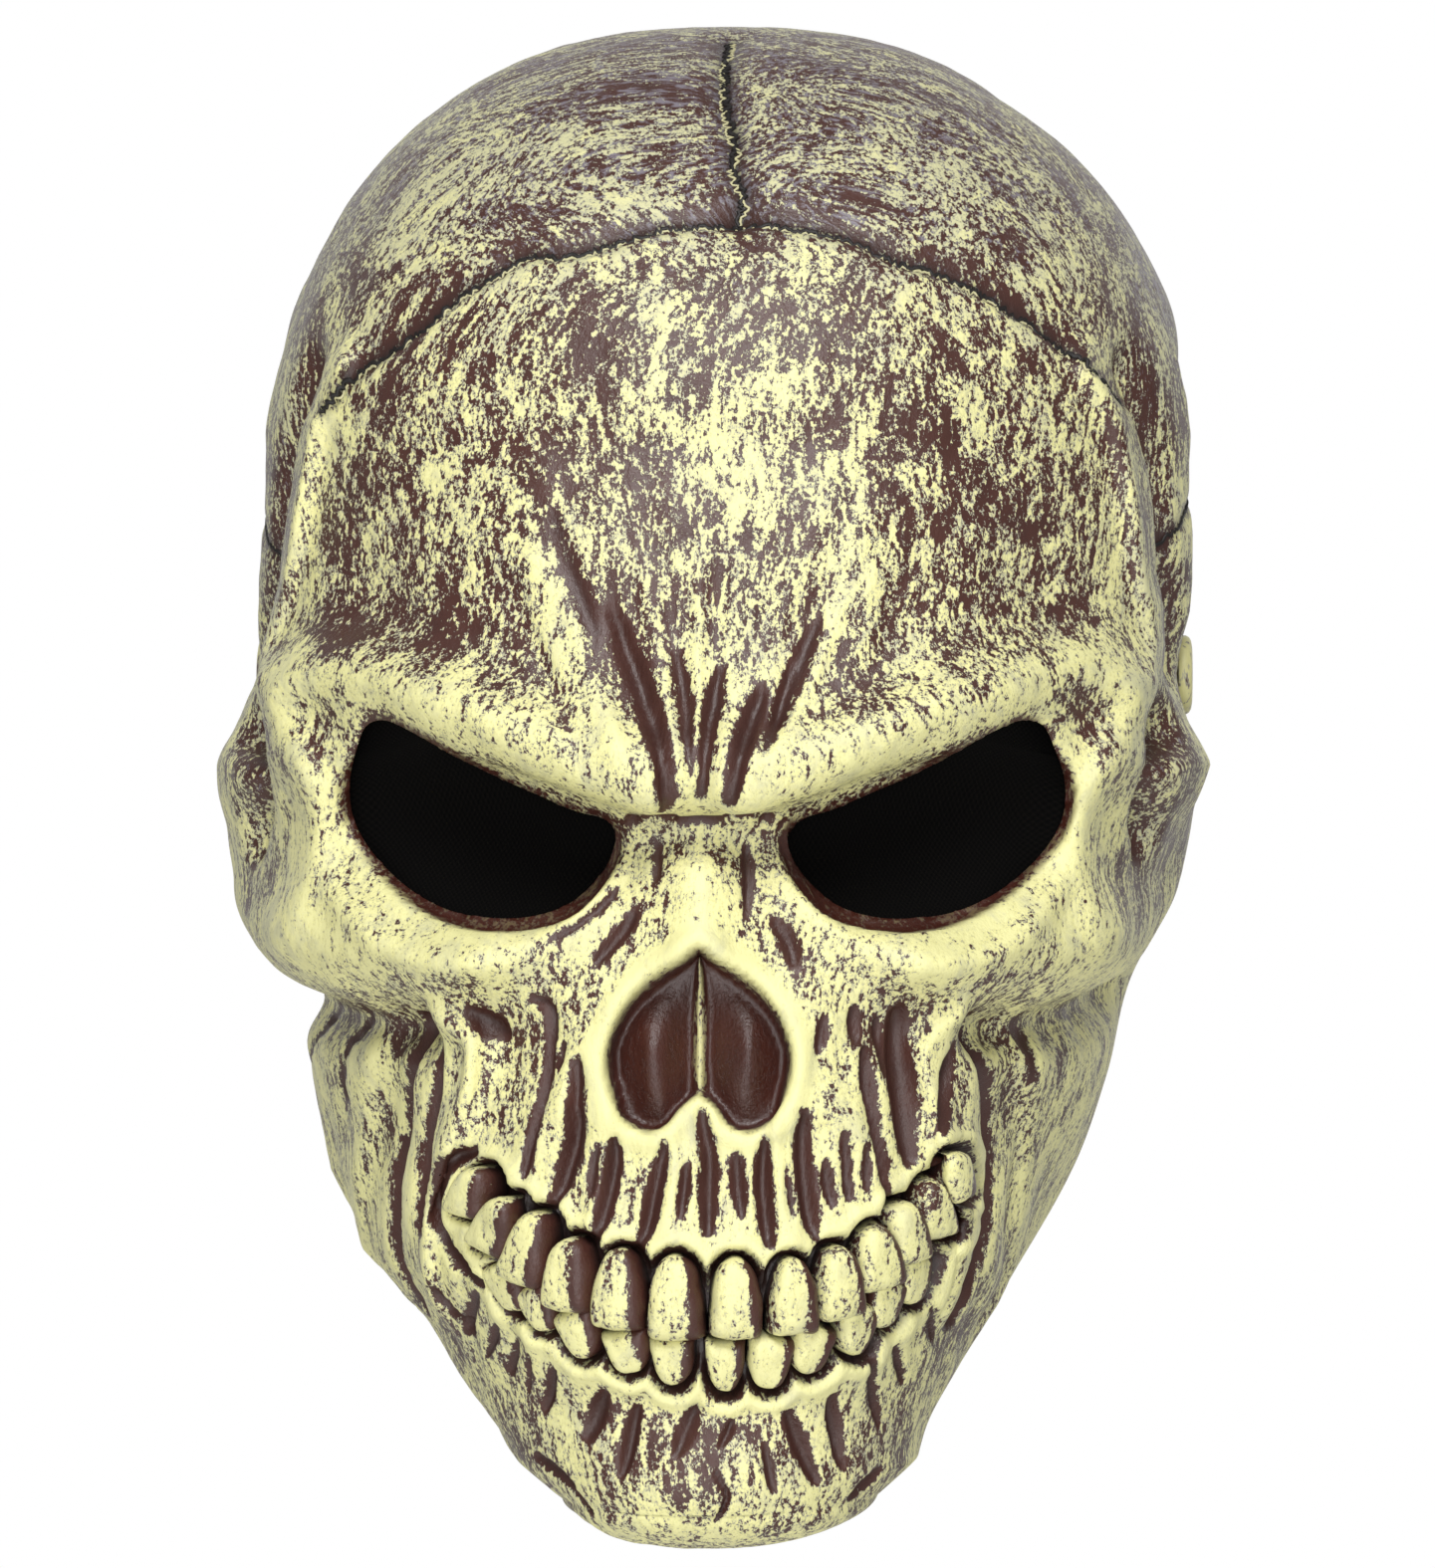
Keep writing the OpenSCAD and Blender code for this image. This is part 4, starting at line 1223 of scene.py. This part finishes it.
def surface(tree, inputs):
    shader = add(tree, "ShaderNodeBsdfPrincipled", inputs)
    add(tree, "ShaderNodeOutputMaterial", {"Surface": shader.outputs[0]})
    return shader


def noise_field(tree, place, size_mm, detail=2.0, rough=0.5, distortion=0.0, stretch=(1, 1, 1)):
    """Noise whose grain is size_mm across, longer along an axis by its stretch."""
    scaled = add(tree, "ShaderNodeMapping", {"Vector": place, "Scale": [1000 / size_mm / s for s in stretch]})
    return add(tree, "ShaderNodeTexNoise", {"Vector": scaled.outputs[0], "Scale": 1.0, "Detail": detail,
                                            "Roughness": rough, "Distortion": distortion}).outputs["Fac"]


def weighted(tree, start, *terms):
    """start + value * weight for each (value, weight)."""
    total = start
    for value, weight in terms:
        total = add(tree, "ShaderNodeMath", {0: value, 1: weight, 2: total},
                    operation="MULTIPLY_ADD").outputs[0]
    return total


def mixed(tree, share, first, second):
    return add(tree, "ShaderNodeMix", {0: share, 6: first, 7: second}, data_type="RGBA").outputs[2]


def ramp(tree, value, stops):
    """Colour ramp of (position, hex colour)."""
    made = add(tree, "ShaderNodeValToRGB", {"Fac": value})
    while len(made.color_ramp.elements) < len(stops):
        made.color_ramp.elements.new(0.5)
    for element, (position, colour) in zip(made.color_ramp.elements, stops):
        element.position = position
        element.color = linear(colour)
    return made.outputs[0]


def painted_latex():
    """Cast natural latex, brown through and through, dry-brushed with cream over a thin grey scumble and a
    black wash: the cream catches in dashes on what stands proud and leaves the cuts brown."""
    material, tree = new_material("dry_brushed_cast_latex")
    place = add(tree, "ShaderNodeTexCoord").outputs["Object"]
    read = {name: add(tree, "ShaderNodeAttribute", attribute_name=name).outputs["Fac"]
            for name in PAINT + ("inner",)}
    depth = add(tree, "ShaderNodeSeparateXYZ", {0: place}).outputs["Y"]
    brush = add(tree, "ShaderNodeCombineXYZ", {0: read["grain_u"], 1: depth, 2: read["grain_v"]}).outputs[0]
    speck = noise_field(tree, place, 0.8, 3, 0.75, stretch=(1, 1, 1.3))
    dash = noise_field(tree, brush, 1.3, 3, 0.65, 0.3, stretch=(1, 1, 3))
    streak = noise_field(tree, brush, 2.2, 3, 0.6, 0.3, stretch=(1, 1, 9))
    blotch = noise_field(tree, brush, 12, 3, 0.6, stretch=(1, 1, 1.6))
    cover = weighted(tree, -3.02, (read["tone"], 1.0), (speck, 2.1), (dash, 1.4), (streak, 1.2),
                     (blotch, 1.2))
    thin_dash = noise_field(tree, brush, 1.1, 3, 0.7, stretch=(1, 1, 2))
    scumble = weighted(tree, -0.95, (thin_dash, 1.3), (dash, 0.5), (read["grey"], 0.5))
    latex = mixed(tree, noise_field(tree, place, 8), linear("#3a201a"), linear("#4d2c24"))
    grey = ramp(tree, scumble, [(0.46, "#000000"), (0.6, "#ffffff")])
    under = mixed(tree, grey, latex, linear("#79727a"))
    cream = ramp(tree, cover, [(0.5, "#97958c"), (0.58, "#bdba92"), (0.7, "#d8d391"), (0.95, "#e2dea0")])
    smudge = ramp(tree, weighted(tree, -0.3, (noise_field(tree, brush, 6, 5, 0.7, 0.5, (1, 1, 2)), 1.2),
                                 (read["grey"], 0.35)), [(0.42, "#000000"), (0.66, "#b0b0b0")])
    share = ramp(tree, cover, [(0.455, "#000000"), (0.5, "#ffffff")])
    painted = mixed(tree, share, under, mixed(tree, smudge, cream, linear("#9c9c92")))
    washed = mixed(tree, weighted(tree, 0.0, (read["wash"], 0.92)), painted, linear("#16100e"))
    bared = mixed(tree, read["bare"], washed, mixed(tree, blotch, linear("#2e150f"), linear("#4a241b")))
    lined = mixed(tree, read["inner"], bared, latex)
    gloss = weighted(tree, 0.34, (share, 0.1), (read["bare"], -0.08), (speck, 0.12))
    film = weighted(tree, 0.0, (share, 0.5), (speck, 0.6), (dash, 0.4))
    bump = add(tree, "ShaderNodeBump", {"Height": film, "Strength": 0.6, "Distance": 0.0005})
    surface(tree, {"Base Color": lined, "Roughness": gloss, "Normal": bump.outputs[0]})
    return material


def plain(name, colour, roughness, metallic=0.0):
    material, tree = new_material(name)
    surface(tree, {"Base Color": linear(colour), "Roughness": roughness, "Metallic": metallic})
    return material


def woven_elastic():
    """Black woven elastic: polyester weft beaten across rubber strands, so fine bars cross the ribs, with a
    soft sheen along them and some lint."""
    material, tree = new_material("black_woven_elastic")
    along = add(tree, "ShaderNodeAttribute", attribute_name="along").outputs["Fac"]
    across = add(tree, "ShaderNodeAttribute", attribute_name="across").outputs["Fac"]
    place = add(tree, "ShaderNodeTexCoord").outputs["Object"]
    # weft bars every 0.6 mm, rows shifted every 0.9 mm, a little coarser than the real 0.4 mm
    shift = add(tree, "ShaderNodeMath", {0: across, 1: 3.5}, operation="MULTIPLY").outputs[0]
    row = add(tree, "ShaderNodeMath", {0: shift}, operation="SINE").outputs[0]
    bar = add(tree, "ShaderNodeMath", {0: along, 1: 10.5, 2: row}, operation="MULTIPLY_ADD").outputs[0]
    weft = add(tree, "ShaderNodeMath", {0: bar}, operation="SINE").outputs[0]
    lint = noise_field(tree, place, 4, 3, 0.6)
    shade = weighted(tree, 0.3, (weft, 0.16), (row, 0.08), (lint, 0.35))
    colour = ramp(tree, shade, [(0.25, "#0b0b0c"), (0.6, "#1b1b1d"), (0.9, "#303033")])
    bump = add(tree, "ShaderNodeBump", {"Height": weft, "Strength": 0.5, "Distance": 0.00015})
    surface(tree, {"Base Color": colour, "Roughness": 0.8, "Normal": bump.outputs[0], "Sheen Weight": 0.25,
                   "Sheen Roughness": 0.5})
    return material


def painted_shade_gauze():
    """Black polyester gauze, plain weave, dull and nearly lightless: painted shade that stands for the dark
    inside of the mask behind the eye holes.
    """
    material, tree = new_material("painted_shade_black_cloth")
    weave = []
    for name in ("along", "across"):
        value = add(tree, "ShaderNodeAttribute", attribute_name=name).outputs["Fac"]
        # one thread per 0.9 mm
        turned_value = add(tree, "ShaderNodeMath", {0: value, 1: 7.0}, operation="MULTIPLY").outputs[0]
        weave.append(add(tree, "ShaderNodeMath", {0: turned_value}, operation="SINE").outputs[0])
    threads = add(tree, "ShaderNodeMath", {0: weave[0], 1: weave[1]}, operation="MULTIPLY").outputs[0]
    # near-black colour and weak specular below: painted shade, so the sheet shows no light and reads as the
    # dark inside of the mask
    colour = ramp(tree, weighted(tree, 0.5, (threads, 0.4)), [(0.2, "#020202"), (0.9, "#0a0807")])
    bump = add(tree, "ShaderNodeBump", {"Height": threads, "Strength": 0.4, "Distance": 0.0002})
    surface(tree, {"Base Color": colour, "Roughness": 1.0, "Specular IOR Level": 0.1,
                   "Normal": bump.outputs[0]})
    return material


def moulded_plastic(name, dark, light, roughness, grain_mm):
    """Injection-moulded plastic with a fine spark-eroded grain, a little uneven in colour."""
    material, tree = new_material(name)
    place = add(tree, "ShaderNodeTexCoord").outputs["Object"]
    grain = noise_field(tree, place, grain_mm, 3, 0.6)
    cloud = noise_field(tree, place, 7, 2)
    bump = add(tree, "ShaderNodeBump", {"Height": grain, "Strength": 0.3, "Distance": 0.0001})
    surface(tree, {"Base Color": mixed(tree, cloud, linear(dark), linear(light)), "Normal": bump.outputs[0],
                   "Roughness": weighted(tree, roughness - 0.1, (grain, 0.2)), "IOR": 1.49})
    return material


def brushed_cap():
    """Moulded plastic snap cap, dry-brushed as the skin is: cream over brown in strokes."""
    material, tree = new_material("dry_brushed_snap_cap")
    place = add(tree, "ShaderNodeTexCoord").outputs["Object"]
    strokes = noise_field(tree, place, 1.6, 3, 0.65, 0.4, (1, 1, 4))
    colour = ramp(tree, strokes, [(0.34, "#4a2c24"), (0.40, "#9a9688"), (0.46, "#d2cd92"), (0.8, "#dfda9c")])
    bump = add(tree, "ShaderNodeBump", {"Height": strokes, "Strength": 0.3, "Distance": 0.0002})
    surface(tree, {"Base Color": colour, "Roughness": weighted(tree, 0.3, (strokes, 0.2)),
                   "Normal": bump.outputs[0], "IOR": 1.5})
    return material


def antique_brass():
    """Pressed brass left to tarnish: warm metal, browner and rougher in uneven patches."""
    material, tree = new_material("tarnished_pressed_brass")
    place = add(tree, "ShaderNodeTexCoord").outputs["Object"]
    tarnish = noise_field(tree, place, 1.5, 4, 0.6)
    colour = ramp(tree, tarnish, [(0.35, "#5b4526"), (0.6, "#9c7f48"), (0.8, "#b89a5e")])
    surface(tree, {"Base Color": colour, "Metallic": 1.0, "Roughness": weighted(tree, 0.2, (tarnish, 0.35))})
    return material


def brushed_knit(name, dark, light, knit_mm):
    """Brushed nylon knit bonded to foam: a low nap with a soft sheen and small uneven loops."""
    material, tree = new_material(name)
    place = add(tree, "ShaderNodeTexCoord").outputs["Object"]
    loops = noise_field(tree, place, knit_mm, 3, 0.65, 0.5)
    nap = noise_field(tree, place, 12, 3, 0.6)
    bump = add(tree, "ShaderNodeBump", {"Height": loops, "Strength": 0.6, "Distance": 0.0003})
    surface(tree, {"Base Color": mixed(tree, weighted(tree, -0.1, (loops, 0.7), (nap, 0.5)), linear(dark),
                                       linear(light)),
                   "Roughness": 0.95, "Normal": bump.outputs[0], "Sheen Weight": 0.4, "Sheen Roughness": 0.4})
    return material


def label_satin():
    """White polyester satin ribbon: long floats give it a silky streak, and its cut ends are heat-sealed."""
    material, tree = new_material("white_satin_ribbon")
    along = add(tree, "ShaderNodeAttribute", attribute_name="along").outputs["Fac"]
    place = add(tree, "ShaderNodeTexCoord").outputs["Object"]
    floats = add(tree, "ShaderNodeMath", {0: along, 1: 16.0}, operation="MULTIPLY").outputs[0]
    wave = add(tree, "ShaderNodeMath", {0: floats}, operation="SINE").outputs[0]
    cloud = noise_field(tree, place, 5, 2)
    bump = add(tree, "ShaderNodeBump", {"Height": wave, "Strength": 0.25, "Distance": 0.0001})
    surface(tree, {"Base Color": mixed(tree, cloud, linear("#cfccc0"), linear("#e6e3d8")), "Roughness": 0.38,
                   "Normal": bump.outputs[0], "Sheen Weight": 0.2})
    return material


def raw_latex():
    """Bare brown latex with a matt, slightly tacky skin, as on the glued-in patches."""
    material, tree = new_material("bare_brown_latex")
    place = add(tree, "ShaderNodeTexCoord").outputs["Object"]
    cloud = noise_field(tree, place, 5, 3)
    pits = noise_field(tree, place, 0.8, 2)
    bump = add(tree, "ShaderNodeBump", {"Height": pits, "Strength": 0.3, "Distance": 0.0002})
    surface(tree, {"Base Color": mixed(tree, cloud, linear("#2a1712"), linear("#3e241c")),
                   "Roughness": weighted(tree, 0.5, (pits, 0.15)), "Normal": bump.outputs[0]})
    return material


# ---------------------------------------------------------------- build
def placed(piece, body, slot, *nodes):
    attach(piece, body)
    if nodes:
        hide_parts(*nodes)
    return piece


latex = painted_latex()
placed(outward(skull_skin(latex)), "mask", "painted_latex", "mask_skin")
placed(outward(row_of_teeth("upper_teeth", UPPER_TEETH, 2.6, 100, latex)), "mask", "painted_latex")
placed(outward(row_of_teeth("lower_teeth", LOWER_TEETH, 0.8, 500, latex)), "mask", "painted_latex")
black_seam = plain("seam_wash_black", "#120d0b", 0.6)
cream_crest = plain("seam_crest_cream", "#b9b48a", 0.5)
placed(suture_seams(black_seam, cream_crest), "mask", "painted_latex")

# gauze is the near-black sheet behind the eye holes, painted shade for the dark inside of the mask
cap_paint, brass, elastic_cloth, gauze = brushed_cap(), antique_brass(), woven_elastic(), painted_shade_gauze()
nylon = moulded_plastic("black_moulded_nylon", "#101011", "#1d1d1f", 0.42, 0.5)
knit = brushed_knit("black_brushed_knit", "#0e0e10", "#2b2b2f", 0.9)
satin, patch_latex = label_satin(), raw_latex()
for side, name in ((-1, "left"), (1, "right")):
    placed(turned(name + "_cap", CAP_PROFILE, side, cap_paint), "mask", "cap_plastic", name + "_button_cap")
    placed(turned(name + "_eyelet", EYELET_PROFILE, side, brass), "band", "rivet_metal",
           name + "_band_eyelet")
    # a near-black gauze sheet behind each eye hole, painted shade that fills the opening
    shade_sheet = lining(name + "_eye_shade_cloth", (side * 42, -6), (37.5, 27), WALL + 2.4, 0.4, gauze)
    placed(shade_sheet, "mask", "black_gauze", name + "_eye_gauze")
placed(elastic("long_elastic", band_path(1, RING_NEAR_X, LONG_TAIL_X), 1, elastic_cloth), "band",
       "black_elastic", "long_band")
placed(elastic("short_elastic", band_path(-1, RING_FAR_X, SHORT_TAIL_X), -1, elastic_cloth), "band",
       "black_elastic", "short_band")
placed(ring_loop(nylon), "band", "band_plastic", "band_ring")
placed(eased_copy("band_slider", "slider_body", 0.5, nylon), "slider", "band_plastic", "band_slider")
for name, spot, size, cells in (("forehead", (0, 78), (40, 15), (44, 24)),
                                ("chin", (0, -118), (18, 11), (28, 20))):
    pad = lining(name + "_cushion", spot, size, WALL + 1.4, 5.5, knit, cells=cells, swell=0.5)
    placed(swollen(pad, 1.5), "mask", "pad_foam", name + "_pad")
label = lining("care_ribbon", (0, 112), (16.5, 8.5), WALL + 2.2, 0.3, satin, power=1, cells=(24, 14))
placed(label, "mask", "label_satin", "care_label")
for name, finish in (("rivet", brass), ("anchor_patch", patch_latex)):
    for side in ("left_", "right_"):
        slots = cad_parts[side + name].data.materials
        slots.clear()
        slots.append(finish)

stitches, stitch_names = stitch_tree()
thread = plain("black_polyester_thread", "#26262a", 0.6)


def bar_tack(name, x, y):
    """Zigzag of thread across the band that holds a folded end down."""
    z = np.linspace(PIVOT_Z - 8, PIVOT_Z + 8, 17)
    points = np.stack([x + 1.2 * (-1.0) ** np.arange(17), np.full(17, y), z], 1)
    path = path_object(name, points * MM, np.zeros((17, 3)))
    return grown(path, stitches, stitch_names, Stitch_Step=0.0023, Stitch_Length=0.0025, Thread_Radius=0.0002,
                 Material=thread)


tail_y = BAND_BACK + LAYER_STEP + BAND_T / 2
tacks = [bar_tack("tack", x, tail_y) for x in (-46, -48)]
placed(joined("bar_tacks", tacks), "band", "black_elastic")

# ---------------------------------------------------------------- stage
LENS, CAMERA_AWAY, CAMERA_AZIMUTH, AIM_X = 154.0, 1.368, math.radians(2.5), -0.0019
camera = bpy.data.objects.new("camera", bpy.data.cameras.new("camera"))
bpy.context.scene.collection.objects.link(camera)
camera.data.lens = LENS
camera.data.sensor_width = 36
camera.location = (AIM_X + CAMERA_AWAY * math.sin(CAMERA_AZIMUTH), -CAMERA_AWAY * math.cos(CAMERA_AZIMUTH), 0)
camera.rotation_euler = (math.pi / 2, 0, CAMERA_AZIMUTH)
bpy.context.scene.camera = camera


def staged(name, corners, material):
    mesh = bpy.data.meshes.new(name)
    mesh.from_pydata(corners, [], [(0, 1, 2, 3)])
    mesh.materials.append(material)
    card = bpy.data.objects.new(name, mesh)
    bpy.context.scene.collection.objects.link(card)


def glowing_paper():
    """White studio paper, lit from its own side so that it reads as clean white behind the mask."""
    material, tree = new_material("lit_studio_paper")
    glow = add(tree, "ShaderNodeEmission", {"Color": (1, 1, 1, 1), "Strength": 1.0})
    add(tree, "ShaderNodeOutputMaterial", {"Surface": glow.outputs[0]})
    return material


FLOOR_Z, WALL_Y = -0.6, 3.0
staged("floor", [(-3, -3, FLOOR_Z), (3, -3, FLOOR_Z), (3, WALL_Y, FLOOR_Z), (-3, WALL_Y, FLOOR_Z)],
       plain("pale_paper", "#f0f0ee", 0.9))
staged("backdrop", [(-3, WALL_Y, FLOOR_Z), (3, WALL_Y, FLOOR_Z), (3, WALL_Y, 2.4), (-3, WALL_Y, 2.4)],
       glowing_paper())

world = bpy.data.worlds.new("studio_air")
world.use_nodes = True
world.node_tree.nodes["Background"].inputs[0].default_value = (1, 1, 1, 1)
world.node_tree.nodes["Background"].inputs[1].default_value = 0.3
bpy.context.scene.world = world
bpy.context.scene.view_settings.view_transform = "Standard"


def softbox(name, place, size, watts, aim=(0, -0.06, 0)):
    lamp = bpy.data.lights.new(name, "AREA")
    lamp.energy = watts
    lamp.size = size
    obj = bpy.data.objects.new(name, lamp)
    obj.location = place
    obj.rotation_euler = (Vector(aim) - Vector(place)).to_track_quat("-Z", "Y").to_euler()
    bpy.context.scene.collection.objects.link(obj)


softbox("key", (0.06, -1.1, 1.0), 0.6, 17.5)
softbox("front", (0.1, -1.6, 0.1), 0.5, 5)
softbox("low_fill", (-0.1, -1.0, -0.45), 0.7, 4.5)
